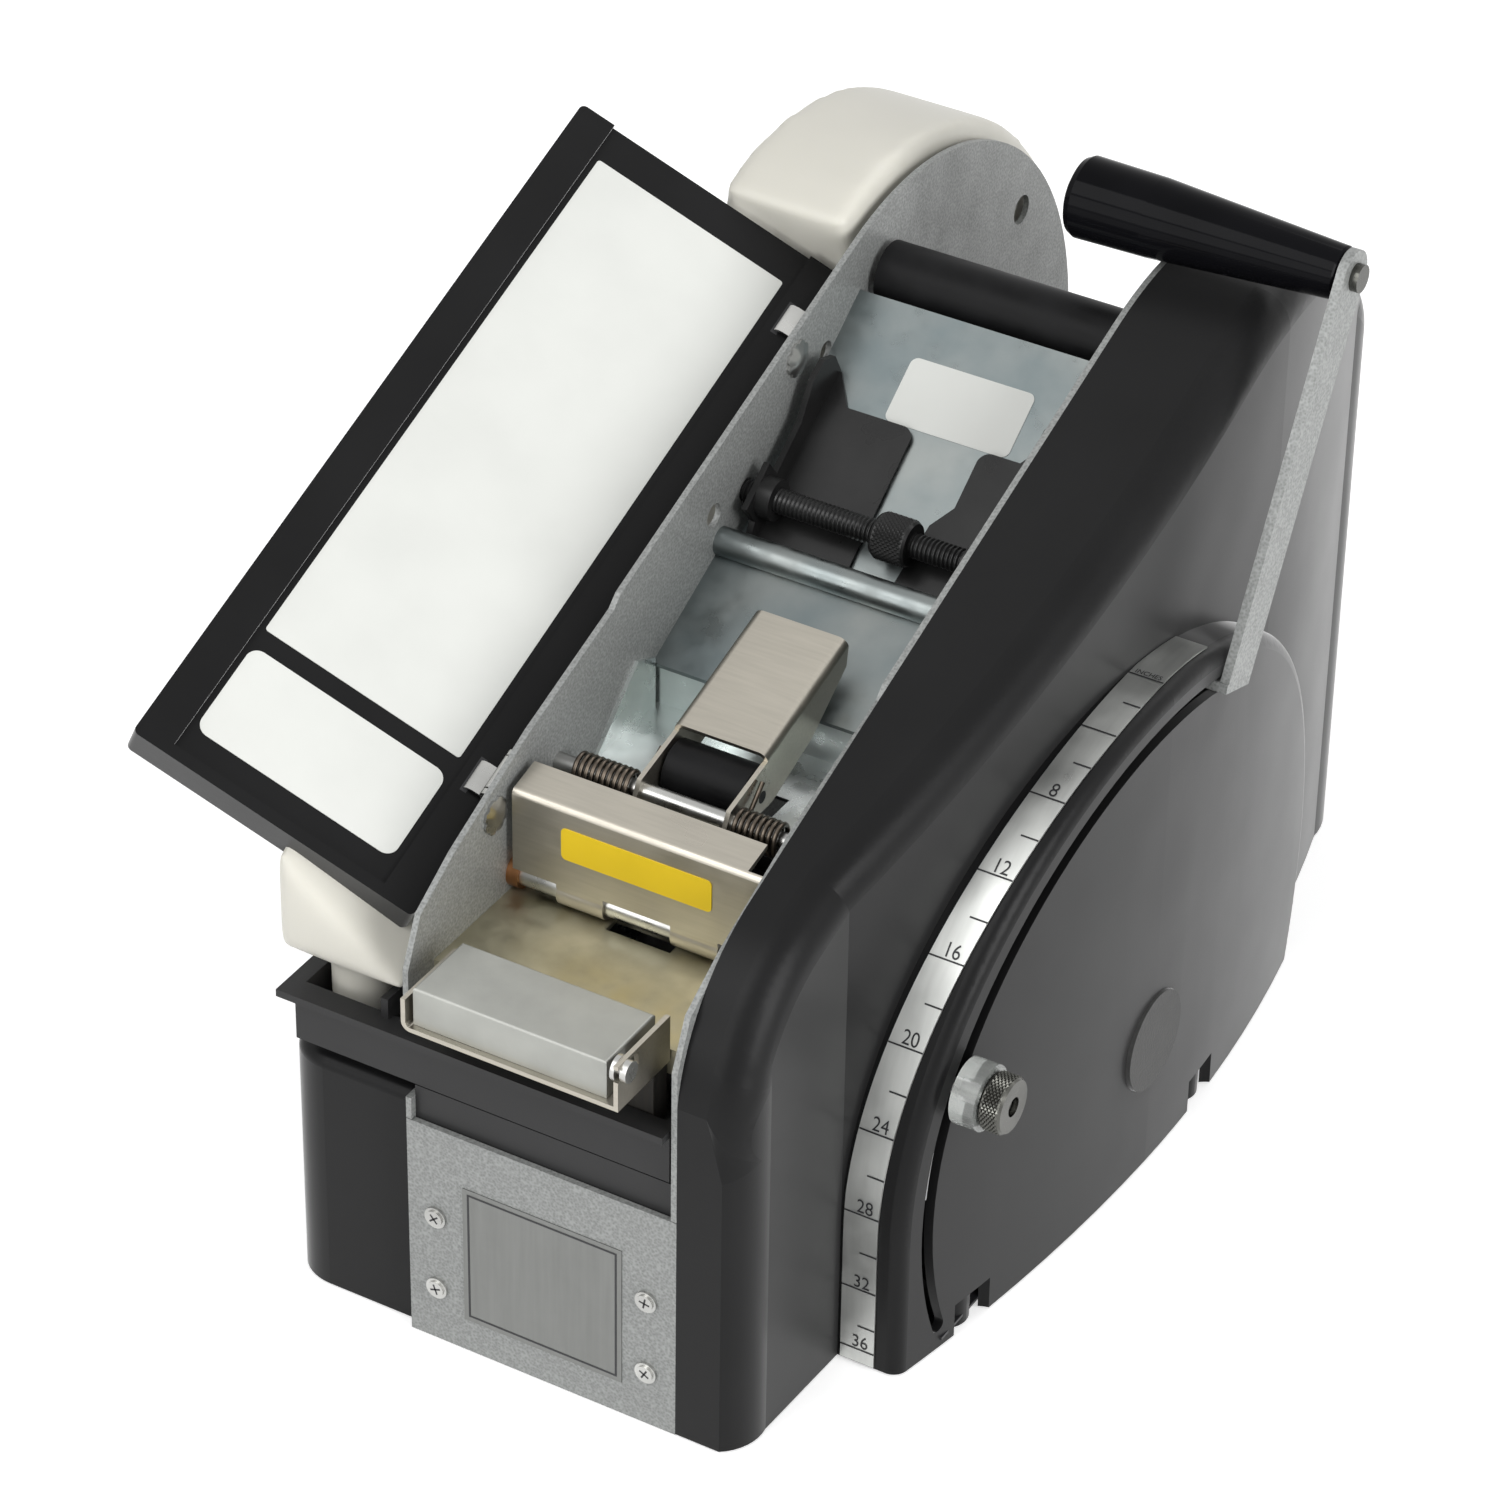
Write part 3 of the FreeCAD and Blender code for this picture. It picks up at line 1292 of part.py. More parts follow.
# ---- check and export ---------------------------------------------------------------------------
for obj in doc.Objects:
    if "Invalid" in obj.State or "Error" in obj.State:
        raise ValueError(obj.Name + " did not build")
os.makedirs("parts", exist_ok=True)
for obj in nodes:
    if obj.Shape.isNull() or not obj.Shape.isValid() or not obj.Shape.Solids:
        raise ValueError(obj.Label + " has no sound solid")
    obj.Shape.exportStep("parts/" + obj.Label + ".step")
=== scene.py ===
"""Looks of a bench dispenser for gummed tape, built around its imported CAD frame. Metres, in the frame's axes."""
import json
import math

import bmesh
import bpy
from mathutils import Matrix, Vector


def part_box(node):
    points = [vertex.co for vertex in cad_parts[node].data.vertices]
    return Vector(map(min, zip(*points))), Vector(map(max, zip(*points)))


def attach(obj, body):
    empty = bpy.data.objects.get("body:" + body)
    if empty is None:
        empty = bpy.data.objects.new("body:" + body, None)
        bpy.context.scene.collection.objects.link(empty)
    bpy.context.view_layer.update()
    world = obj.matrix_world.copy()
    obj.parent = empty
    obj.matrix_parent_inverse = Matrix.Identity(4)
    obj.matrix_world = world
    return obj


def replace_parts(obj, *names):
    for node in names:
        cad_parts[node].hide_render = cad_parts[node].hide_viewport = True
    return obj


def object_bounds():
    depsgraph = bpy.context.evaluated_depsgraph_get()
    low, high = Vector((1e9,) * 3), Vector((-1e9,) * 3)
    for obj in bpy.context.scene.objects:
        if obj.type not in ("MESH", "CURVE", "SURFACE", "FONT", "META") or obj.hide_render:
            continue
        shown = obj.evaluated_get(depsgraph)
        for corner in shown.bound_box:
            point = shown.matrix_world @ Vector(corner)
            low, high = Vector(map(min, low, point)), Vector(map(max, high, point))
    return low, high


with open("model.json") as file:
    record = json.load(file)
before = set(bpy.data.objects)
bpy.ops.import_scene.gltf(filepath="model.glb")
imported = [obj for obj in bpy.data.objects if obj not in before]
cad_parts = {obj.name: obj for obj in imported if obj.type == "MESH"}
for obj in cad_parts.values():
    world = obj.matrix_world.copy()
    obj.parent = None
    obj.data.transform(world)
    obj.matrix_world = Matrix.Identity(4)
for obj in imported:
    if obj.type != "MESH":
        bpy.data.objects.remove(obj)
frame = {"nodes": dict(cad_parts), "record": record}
cad_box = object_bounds()

MM = 0.001
DEPTH = 398.0
nodes = frame["nodes"]


def at(x, y, z):
    """Point of the frame from millimetres, with Y counted from the front panel's face."""
    return Vector((x, y - DEPTH / 2, z)) * MM


# ---- camera, floor and light --------------------------------------------------------------------
CAMERA_PLACE = at(722.26, -1116.48, 1157.54)
CAMERA_RIGHT = Vector((0.85833, 0.51294, 0.01240))
CAMERA_DOWN = Vector((0.30165, -0.48492, -0.82089))
CAMERA_AHEAD = Vector((-0.41506, 0.70834, -0.57095))
FOCAL_PIXELS = 5892.18
FRAME_PIXELS = 1500
CENTRE_PIXEL = (749.18, 737.79)
SENSOR = 36.0

camera_data = bpy.data.cameras.new("camera")
camera = bpy.data.objects.new("camera", camera_data)
bpy.context.scene.collection.objects.link(camera)
camera_data.sensor_width = SENSOR
camera_data.lens = FOCAL_PIXELS / FRAME_PIXELS * SENSOR
camera_data.shift_x = 0.5 - CENTRE_PIXEL[0] / FRAME_PIXELS
camera_data.shift_y = CENTRE_PIXEL[1] / FRAME_PIXELS - 0.5
camera_data.clip_end = 20
turn = Matrix((CAMERA_RIGHT, -CAMERA_DOWN, -CAMERA_AHEAD)).transposed()
camera.matrix_world = Matrix.Translation(CAMERA_PLACE) @ turn.to_4x4()
bpy.context.scene.camera = camera
bpy.context.scene.view_settings.view_transform = "Standard"


def seen_directly(tree):
    """1 for the camera's own rays and for those mirrored or let through, else 0."""
    path = tree.nodes.new("ShaderNodeLightPath")
    total = path.outputs["Is Camera Ray"]
    for ray in ("Is Glossy Ray", "Is Transmission Ray"):
        either = tree.nodes.new("ShaderNodeMath")
        either.operation = "MAXIMUM"
        tree.links.new(total, either.inputs[0])
        tree.links.new(path.outputs[ray], either.inputs[1])
        total = either.outputs[0]
    return total


def pale_world():
    world = bpy.data.worlds.new("studio")
    world.use_nodes = True
    bpy.context.scene.world = world
    tree = world.node_tree
    sky = tree.nodes["Background"]
    sky.inputs["Color"].default_value = (1, 1, 1, 1)
    direct = seen_directly(tree)
    level = tree.nodes.new("ShaderNodeMapRange")
    level.inputs["To Min"].default_value = 0.42
    level.inputs["To Max"].default_value = 1.0
    tree.links.new(direct, level.inputs["Value"])
    tree.links.new(level.outputs[0], sky.inputs["Strength"])


def pale_floor():
    size = 6.0
    mesh = bpy.data.meshes.new("floor")
    corners = [(-size, -size, 0), (size, -size, 0), (size, size, 0), (-size, size, 0)]
    mesh.from_pydata(corners, [], [(0, 1, 2, 3)])
    floor = bpy.data.objects.new("floor", mesh)
    bpy.context.scene.collection.objects.link(floor)
    floor.location.z = cad_box[0][2] - 0.0005
    mat = bpy.data.materials.new("floor_paint")
    mat.use_nodes = True
    tree = mat.node_tree
    shader = tree.nodes["Principled BSDF"]
    shader.inputs["Base Color"].default_value = (0.8, 0.8, 0.8, 1)
    shader.inputs["Roughness"].default_value = 0.9
    direct = seen_directly(tree)
    glow = tree.nodes.new("ShaderNodeEmission")
    glow.inputs["Strength"].default_value = 0.5
    total = tree.nodes.new("ShaderNodeAddShader")
    dark = tree.nodes.new("ShaderNodeMixShader")
    tree.links.new(direct, dark.inputs["Fac"])
    tree.links.new(shader.outputs[0], total.inputs[0])
    tree.links.new(glow.outputs[0], total.inputs[1])
    tree.links.new(shader.outputs[0], dark.inputs[1])
    tree.links.new(total.outputs[0], dark.inputs[2])
    tree.links.new(dark.outputs[0], tree.nodes["Material Output"].inputs["Surface"])
    mesh.materials.append(mat)


def soft_box(name, place, aim, width, height, power):
    data = bpy.data.lights.new(name, "AREA")
    data.shape = "RECTANGLE"
    data.size = width
    data.size_y = height
    data.energy = power
    lamp = bpy.data.objects.new(name, data)
    bpy.context.scene.collection.objects.link(lamp)
    lamp.location = place
    lamp.rotation_euler = (Vector(aim) - Vector(place)).to_track_quat("-Z", "Y").to_euler()


pale_world()
pale_floor()
MIDDLE = (0, 0, 0.12)
soft_box("key", (-0.4, -1.3, 1.7), MIDDLE, 1.2, 1.2, 15)
soft_box("right_fill", (2.0, -0.6, 0.8), MIDDLE, 1.0, 1.6, 34)
soft_box("front_fill", (-0.5, -2.0, 0.7), MIDDLE, 1.2, 1.0, 9)
soft_box("rear_top", (0.3, 1.3, 1.5), MIDDLE, 1.4, 0.8, 6)


# ---- materials ----------------------------------------------------------------------------------
class Look:
    """A principled material and a few helpers for its procedural detail."""

    def __init__(self, name, color, rough, metal=0.0):
        self.mat = bpy.data.materials.new(name)
        self.mat.use_nodes = True
        self.tree = self.mat.node_tree
        self.shader = self.tree.nodes["Principled BSDF"]
        self.set("Base Color", (*color, 1))
        self.set("Roughness", rough)
        self.set("Metallic", metal)
        self.mat.diffuse_color = (*color, 1)
        self.place = self.tree.nodes.new("ShaderNodeTexCoord")
        self.normal = None

    def set(self, socket, value):
        self.shader.inputs[socket].default_value = value

    def link(self, a, b):
        self.tree.links.new(a, b)

    def coordinates(self, stretch):
        mapping = self.tree.nodes.new("ShaderNodeMapping")
        mapping.inputs["Scale"].default_value = stretch
        self.link(self.place.outputs["Object"], mapping.inputs["Vector"])
        return mapping.outputs[0]

    def noise(self, scale, detail=3.0, stretch=(1, 1, 1)):
        made = self.tree.nodes.new("ShaderNodeTexNoise")
        made.inputs["Scale"].default_value = scale
        made.inputs["Detail"].default_value = detail
        self.link(self.coordinates(stretch), made.inputs["Vector"])
        return made.outputs["Fac"]

    def cells(self, scale):
        made = self.tree.nodes.new("ShaderNodeTexVoronoi")
        made.feature = "SMOOTH_F1"
        made.inputs["Scale"].default_value = scale
        self.link(self.coordinates((1, 1, 1)), made.inputs["Vector"])
        return made.outputs["Distance"]

    def tint(self, value, low, high, start=0.3, end=0.7):
        """Colour of the surface from low to high as the value goes from start to end."""
        ramp = self.tree.nodes.new("ShaderNodeValToRGB")
        ramp.color_ramp.elements[0].position = start
        ramp.color_ramp.elements[1].position = end
        ramp.color_ramp.elements[0].color = (*low, 1)
        ramp.color_ramp.elements[1].color = (*high, 1)
        self.link(value, ramp.inputs[0])
        self.link(ramp.outputs[0], self.shader.inputs["Base Color"])

    def rough(self, value, low, high):
        spread = self.tree.nodes.new("ShaderNodeMapRange")
        spread.inputs["From Min"].default_value = 0.3
        spread.inputs["From Max"].default_value = 0.7
        spread.inputs["To Min"].default_value = low
        spread.inputs["To Max"].default_value = high
        self.link(value, spread.inputs["Value"])
        self.link(spread.outputs[0], self.shader.inputs["Roughness"])

    def bump(self, value, strength, height=0.0004):
        made = self.tree.nodes.new("ShaderNodeBump")
        made.inputs["Strength"].default_value = strength
        made.inputs["Distance"].default_value = height
        self.link(value, made.inputs["Height"])
        if self.normal is not None:
            self.link(self.normal, made.inputs["Normal"])
        self.normal = made.outputs[0]
        self.link(self.normal, self.shader.inputs["Normal"])


def shade(color, factor):
    return tuple(min(1.0, c * factor) for c in color)


def grained(name, color, rough, metal=0.0, scale=60.0, spread=0.12, stretch=(1, 1, 1), bump=0.0,
            bump_scale=900.0, shine=0.5, sheen=0.0):
    """Plain surface with cloudy colour, uneven gloss and, if asked, a fine grain."""
    look = Look(name, color, rough, metal)
    look.set("Specular IOR Level", shine)
    look.set("Sheen Weight", sheen)
    look.set("Sheen Roughness", 0.3)
    cloud = look.noise(scale, 4.0, stretch)
    look.tint(cloud, shade(color, 1 - spread), shade(color, 1 + spread))
    look.rough(cloud, rough * 0.88, rough * 1.14)
    if bump:
        look.bump(look.noise(bump_scale, 3.0, stretch), bump, 0.0002)
    return look.mat


def hammered():
    """Grey enamel that dries in small cells."""
    color = (0.26, 0.268, 0.262)
    look = Look("hammertone_grey", color, 0.42)
    cell = look.cells(1250)
    look.tint(cell, shade(color, 0.72), shade(color, 1.2), 0.1, 0.7)
    look.rough(look.noise(90), 0.36, 0.5)
    look.bump(cell, 0.3, 0.0002)
    look.set("Metallic", 0.2)
    return look.mat


def brushed(name, color, rough, stretch, spread=0.10):
    """Rolled or brushed metal, with fine lines along one direction."""
    look = Look(name, color, rough, 1.0)
    lines = look.noise(1.0, 5.0, stretch)
    look.tint(lines, shade(color, 1 - spread), shade(color, 1 + spread))
    look.rough(look.noise(45, 4.0), rough * 0.75, rough * 1.35)
    look.bump(lines, 0.10, 0.0001)
    return look.mat


def spangled(name, dark, light, rough):
    """Zinc plate: patches that shift between two colours."""
    look = Look(name, light, rough, 1.0)
    patches = look.noise(28, 6.0)
    look.tint(patches, dark, light, 0.35, 0.65)
    look.rough(look.noise(130, 4.0), rough * 0.7, rough * 1.3)
    return look.mat


BLACK = (0.006, 0.006, 0.0063)
looks = {
    "hammertone_steel": hammered(),
    "black_plastic": grained("satin_black", BLACK, 0.36, scale=25, spread=0.12, bump=0.06, bump_scale=1600,
                             shine=0.14, sheen=1.0),
    "black_tank": grained("tank_black", (0.016, 0.016, 0.0165), 0.42, scale=30, spread=0.2, bump=0.1,
                          bump_scale=1200, shine=0.3, sheen=0.35),
    "cap_plastic": grained("cap_black", (0.05, 0.05, 0.049), 0.7, scale=200, spread=0.3, bump=0.6, bump_scale=1500,
                           shine=0.25, sheen=0.6),
    "black_rubber": grained("roller_rubber", (0.009, 0.009, 0.0095), 0.42, scale=80, spread=0.3, bump=0.05, shine=0.1),
    "grip_plastic": grained("polished_black", (0.004, 0.004, 0.005), 0.1, scale=40, spread=0.2, shine=0.05),
    "guide_plastic": grained("guide_black", (0.012, 0.012, 0.012), 0.3, scale=60, spread=0.3, bump=0.04, shine=0.3),
    "stainless": brushed("rolled_stainless", (0.44, 0.413, 0.357), 0.34, (60, 900, 900), 0.05),
    "zinc_sheet": spangled("zinc_sheet", (0.17, 0.20, 0.205), (0.25, 0.268, 0.262), 0.36),
    # Lighter copy of the zinc sheet for the feed pan: painted light that makes up for the shade the pan sits in.
    "pan_zinc_painted_light": spangled("pan_zinc_painted_light", (0.6, 0.65, 0.64), (0.78, 0.81, 0.8), 0.3),
    "zinc_parts": spangled("zinc_parts", (0.34, 0.34, 0.33), (0.56, 0.56, 0.54), 0.30),
    "dark_steel": spangled("dark_steel", (0.05, 0.05, 0.045), (0.11, 0.11, 0.1), 0.28),
    "gold_zinc": spangled("gold_zinc", (0.36, 0.335, 0.235), (0.48, 0.455, 0.345), 0.46),
    "copper_bush": grained("copper_bush", (0.42, 0.20, 0.09), 0.35, 1.0, scale=120, spread=0.2),
    "spring_wire": grained("spring_wire", (0.12, 0.10, 0.08), 0.34, 1.0, scale=300, spread=0.3),
    "weight_metal": grained("weight_metal", (0.36, 0.365, 0.34), 0.42, 0.55, scale=60, spread=0.1, bump=0.3,
                            bump_scale=700),
    "silver_scale": brushed("silver_scale", (0.58, 0.59, 0.57), 0.36, (400, 40, 40), 0.05),
    "white_label": grained("white_label", (0.66, 0.67, 0.64), 0.5, scale=30, spread=0.03, bump=0.03),
    "silver_plate": brushed("silver_plate", (0.21, 0.214, 0.206), 0.4, (500, 30, 30), 0.05),
    "yellow_label": grained("yellow_label", (0.80, 0.56, 0.012), 0.4, scale=40, spread=0.05),
    "milk_plastic": grained("milk_plastic", (0.67, 0.655, 0.59), 0.36, scale=18, spread=0.03, bump=0.05,
                            bump_scale=120, shine=0.3),
    "clear_plastic": grained("clear_plastic", (0.55, 0.57, 0.55), 0.16, scale=80, spread=0.1),
    "bristle": grained("bristle", (0.02, 0.018, 0.015), 0.8, scale=900, spread=0.5, stretch=(1, 1, 0.05), bump=0.8),
    # Ink: real print for the scale marks and the plate's border, and also painted shade in the strap slots, the
    # screws' cross recesses and the sheet under the arc slot.
    "ink": grained("ink", (0.012, 0.012, 0.014), 0.45, scale=80, spread=0.2),
}
# The feed pan takes the lighter copy of the zinc sheet, which is painted light.
SPECIAL = {"feed_pan": "pan_zinc_painted_light", "grip_screw": "dark_steel", "stop_nut": "dark_steel"}
milk = looks["milk_plastic"].node_tree.nodes["Principled BSDF"]
milk.inputs["Subsurface Weight"].default_value = 0.35
milk.inputs["Subsurface Radius"].default_value = (0.02, 0.02, 0.018)
clear = looks["clear_plastic"].node_tree.nodes["Principled BSDF"]
clear.inputs["Transmission Weight"].default_value = 0.75
clear.inputs["IOR"].default_value = 1.49

slots = {entry["node"]: entry["material_slot"] for entry in frame["record"]["subparts"]}
for name, obj in nodes.items():
    obj.data.materials.clear()
    obj.data.materials.append(looks[SPECIAL.get(name, slots[name])])

# ---- helpers for pieces -------------------------------------------------------------------------


def piece(name, mesh, body, look, replaces=(), smooth=None):
    obj = bpy.data.objects.new(name, mesh)
    bpy.context.scene.collection.objects.link(obj)
    mesh.materials.clear()
    mesh.materials.append(looks[look])
    if smooth is not None:
        mesh.shade_smooth()
        mesh.set_sharp_from_angle(angle=math.radians(smooth))
    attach(obj, body)
    if replaces:
        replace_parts(obj, *replaces)
    return obj


def finished(bm, name, turned=True):
    """Mesh of the faces made so far, with its normals turned outwards unless it is a flat mark."""
    if turned:
        bmesh.ops.recalc_face_normals(bm, faces=bm.faces)
    mesh = bpy.data.meshes.new(name)
    bm.to_mesh(mesh)
    bm.free()
    return mesh


def lathe(profile, start, steps):
    """Mesh turned about a line along X: the profile is (along, radius) in millimetres."""
    bm = bmesh.new()
    rings = []
    for along, radius in profile:
        ring = []
        for i in range(steps):
            angle = 2 * math.pi * i / steps
            offset = Vector((along, radius * math.cos(angle), radius * math.sin(angle)))
            ring.append(bm.verts.new(start + offset * MM))
        rings.append(ring)
    for low, high in zip(rings, rings[1:]):
        for i in range(steps):
            j = (i + 1) % steps
            bm.faces.new((low[i], low[j], high[j], high[i]))
    bm.faces.new(rings[0])
    bm.faces.new(rings[-1])
    return finished(bm, "lathe")


def tube(points, radius):
    """Round wire along points, as a mesh."""
    curve = bpy.data.curves.new("wire", "CURVE")
    curve.dimensions = "3D"
    curve.bevel_depth = radius * MM
    curve.bevel_resolution = 3
    curve.use_fill_caps = True
    spline = curve.splines.new("POLY")
    spline.points.add(len(points) - 1)
    for target, point in zip(spline.points, points):
        target.co = (*point, 1)
    holder = bpy.data.objects.new("wire", curve)
    bpy.context.scene.collection.objects.link(holder)
    mesh = bpy.data.meshes.new_from_object(holder.evaluated_get(bpy.context.evaluated_depsgraph_get()))
    bpy.data.objects.remove(holder)
    return mesh


# ---- length scale -------------------------------------------------------------------------------
PIVOT = (186.0, 48.0)
SCALE_RADIUS = 130.85
SCALE_FRONT_X = 81.8
SCALE_REAR_X = 100.2
SCALE_BOW = 459.0
SCALE_WIDTH = 11.5
FIRST_TICK = 90.2
TICK_STEP = 12.3
LOWEST_MARK = -18.3
STEP_INCHES = 4
LAST_INCHES = 36
TICK_WIDTH = 0.55
FIGURE_HEIGHT = 6.6


def on_scale(x, angle, lift=0.0):
    """Point on the scale: x across, and the angle counted from straight ahead upwards; it is straight below that."""
    turned = math.radians(angle)
    radius = SCALE_RADIUS + lift
    if turned < 0:
        return at(x, PIVOT[0] - radius, PIVOT[1] + SCALE_RADIUS * turned)
    return at(x, PIVOT[0] - radius * math.cos(turned), PIVOT[1] + radius * math.sin(turned))


def edge_at(angle):
    """Inner and outer edge of the scale at an angle, on its bowed plan."""
    away = SCALE_RADIUS * (1 - math.cos(math.radians(max(0.0, min(angle, 90.0)))))
    share = away / SCALE_RADIUS
    high = SCALE_FRONT_X + (SCALE_REAR_X - SCALE_FRONT_X) * share + away * (SCALE_RADIUS - away) / (2 * SCALE_BOW)
    return high - SCALE_WIDTH, high


def scale_marks():
    bm = bmesh.new()

    def mark(angle, reach):
        angle = max(angle, LOWEST_MARK)
        low, high = edge_at(angle)
        low = high - (high - low) * reach
        half = math.degrees(TICK_WIDTH / 2 / SCALE_RADIUS)
        corners = [(low, -half), (high, -half), (high, half), (low, half)]
        top = [bm.verts.new(on_scale(x, angle + turn, 0.06)) for x, turn in corners]
        bm.faces.new(top)

    for index in range(LAST_INCHES // STEP_INCHES + 1):
        mark(FIRST_TICK - TICK_STEP * index, 1)
        if index * STEP_INCHES < LAST_INCHES:
            mark(FIRST_TICK - TICK_STEP * (index + 0.5), 0.5)

    def words(text, size, angle, share, lift):
        curve = bpy.data.curves.new("figure", "FONT")
        curve.body = text
        curve.size = size
        curve.align_x = "CENTER"
        holder = bpy.data.objects.new("figure", curve)
        bpy.context.scene.collection.objects.link(holder)
        mesh = bpy.data.meshes.new_from_object(holder.evaluated_get(bpy.context.evaluated_depsgraph_get()))
        bpy.data.objects.remove(holder)
        angle = max(angle, LOWEST_MARK)
        low, high = edge_at(angle)
        middle = high - (high - low) * share
        base = len(bm.verts)
        bm.from_mesh(mesh)
        bm.verts.ensure_lookup_table()
        for vertex in bm.verts[base:]:
            x, up = vertex.co.x * 0.86, vertex.co.y
            vertex.co = on_scale(middle + x, angle + math.degrees((up + lift) / SCALE_RADIUS), 0.06)

    for index in range(2, LAST_INCHES // STEP_INCHES + 1):
        words(str(index * STEP_INCHES), FIGURE_HEIGHT, FIRST_TICK - TICK_STEP * index, 0.42, 0.8)
    words("INCHES", 3.0, FIRST_TICK, 0.5, 0.9)
    piece("scale_marks", finished(bm, "scale_marks"), "frame", "ink")


scale_marks()


# ---- springs, guide screw and knurls ------------------------------------------------------------
def coil(name, low, high, turns, radius, wire, y, z, tail):
    """Close-wound spring about X, with a straight leg at one end: the high end if tail is positive, else the low end.
    """
    points = []
    steps = 20
    for i in range(turns * steps + 1):
        angle = 2 * math.pi * i / steps
        points.append(at(low + (high - low) * i / (turns * steps), y + radius * math.cos(angle),
                         z + radius * math.sin(angle)))
    if tail > 0:
        points.append(at(high + 0.4, y + radius + 9, z + 7))
    else:
        points.insert(0, at(low - 0.4, y + radius + 9, z + 7))
    return piece(name, tube(points, wire), "frame", "spring_wire", smooth=50)


SPRING = (81.0, 160.0)
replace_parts(coil("coil_left", -37, -17.6, 10, 5.0, 0.8, *SPRING, 1), "spring_left")
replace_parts(coil("coil_right", 17.6, 33, 8, 5.0, 0.8, *SPRING, -1), "spring_right")

ROD = (188.0, 197.0)


def thread(low, high):
    """Threaded rod: ridges a little under the rod's radius."""
    pitch = 1.5
    profile = []
    along = low
    while along < high - pitch:
        profile += [(along, 3.45), (along + pitch * 0.35, 3.98), (along + pitch * 0.55, 3.98),
                    (along + pitch * 0.9, 3.45)]
        along += pitch
    profile.append((high, 3.9))
    return profile


piece("threaded_rod", lathe([(-46.3, 3.6)] + thread(-44, 44) + [(46.3, 3.6)], at(0, *ROD), 28),
      "guide_screw", "guide_plastic", ["guide_rod"], 25)


def knurl(start, length, radius, bore, depth, count, rows):
    """Round knob whose rim is cut into small diamonds."""
    bm = bmesh.new()
    rings = []
    steps = count * 2
    for row in range(rows * 2 + 1):
        ring = []
        for i in range(steps):
            raised = (i + row) % 2 == 0 and 0 < row < rows * 2
            r = radius if raised else radius - depth
            angle = 2 * math.pi * i / steps
            along = 0.8 + (length - 1.6) * row / (rows * 2)
            ring.append(bm.verts.new(start + Vector((along, r * math.cos(angle), r * math.sin(angle))) * MM))
        rings.append(ring)
    for along, r, front in ((0, radius - depth - 0.5, True), (0, bore, True), (length, radius - depth - 0.5, False),
                            (length, bore, False)):
        ring = [bm.verts.new(start + Vector((along, r * math.cos(2 * math.pi * i / steps),
                                             r * math.sin(2 * math.pi * i / steps))) * MM) for i in range(steps)]
        if front:
            rings.insert(0, ring)
        else:
            rings.append(ring)
    rings.append(rings[0])
    for row, (low, high) in enumerate(zip(rings, rings[1:])):
        for i in range(steps):
            j = (i + 1) % steps
            corners = [low[i], low[j], high[j], high[i]]
            if (i + row) % 2:
                corners = corners[1:] + corners[:1]
            bm.faces.new((corners[0], corners[1], corners[3]))
            bm.faces.new((corners[1], corners[2], corners[3]))
    return finished(bm, "knurl")


wheel_low, wheel_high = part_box("thumbwheel")
wheel_start = Vector((wheel_low.x, (wheel_low.y + wheel_high.y) / 2, (wheel_low.z + wheel_high.z) / 2))
piece("knurled_thumbwheel", knurl(wheel_start, (wheel_high.x - wheel_low.x) / MM, 7.6, 4.1, 0.45, 30, 6),
      "guide_screw", "guide_plastic", ["thumbwheel"], 20)
nut_low, nut_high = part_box("stop_nut")
nut_start = Vector((nut_low.x, (nut_low.y + nut_high.y) / 2, (nut_low.z + nut_high.z) / 2))
nut_radius = (nut_high.z - nut_low.z) / 2 / MM
piece("knurled_nut", knurl(nut_start, (nut_high.x - nut_low.x) / MM, nut_radius - 0.02, 3.1, 0.5, 30, 5),
      "nut", "dark_steel", ["stop_nut"], 20)


# ---- bottle, left cover -------------------------------------------------------------------------
def softened(name, source, voxel, rounds, body, look, reshape):
    """Copy of a solid, reshaped point by point and with its edges melted round."""
    mesh = nodes[source].data.copy()
    for vertex in mesh.vertices:
        vertex.co = reshape(vertex.co)
    obj = piece(name, mesh, body, look, [source])
    bm = bmesh.new()
    bm.from_mesh(mesh)
    bmesh.ops.remove_doubles(bm, verts=bm.verts, dist=1e-5)
    bm.to_mesh(mesh)
    bm.free()
    remesh = obj.modifiers.new("remesh", "REMESH")
    remesh.mode = "VOXEL"
    remesh.voxel_size = voxel * MM
    smooth = obj.modifiers.new("smooth", "SMOOTH")
    smooth.factor = 0.5
    smooth.iterations = rounds
    graph = bpy.context.evaluated_depsgraph_get()
    final = bpy.data.meshes.new_from_object(obj.evaluated_get(graph))
    obj.modifiers.clear()
    obj.data = final
    final.materials.clear()
    final.materials.append(looks[look])
    final.shade_smooth()
    return obj


bottle_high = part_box("water_bottle")[1]
neck_middle = at(-73.0, 20.0, 0)
NECK_ROOM = 0.0107
BOTTLE_SHARE = 0.78


def slim(point):
    """Point of the bottle, drawn in towards the side plate; the neck stays."""
    away = math.hypot(point.x - neck_middle.x, point.y - neck_middle.y)
    if away < NECK_ROOM:
        return point
    return Vector((bottle_high.x - (bottle_high.x - point.x) * BOTTLE_SHARE, point.y, point.z))


softened("milk_bottle", "water_bottle", 2.2, 16, "frame", "milk_plastic", slim)

cover_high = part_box("left_cover")[1]
COVER_SHARE = 1.2


def widened(point):
    """Point of the left cover, drawn out from the side plate."""
    return Vector((cover_high.x - (cover_high.x - point.x) * COVER_SHARE, point.y, point.z))


cover_mesh = nodes["left_cover"].data.copy()
for vertex in cover_mesh.vertices:
    vertex.co = widened(vertex.co)
piece("moulded_left_cover", cover_mesh, "frame", "black_plastic", ["left_cover"], 35)
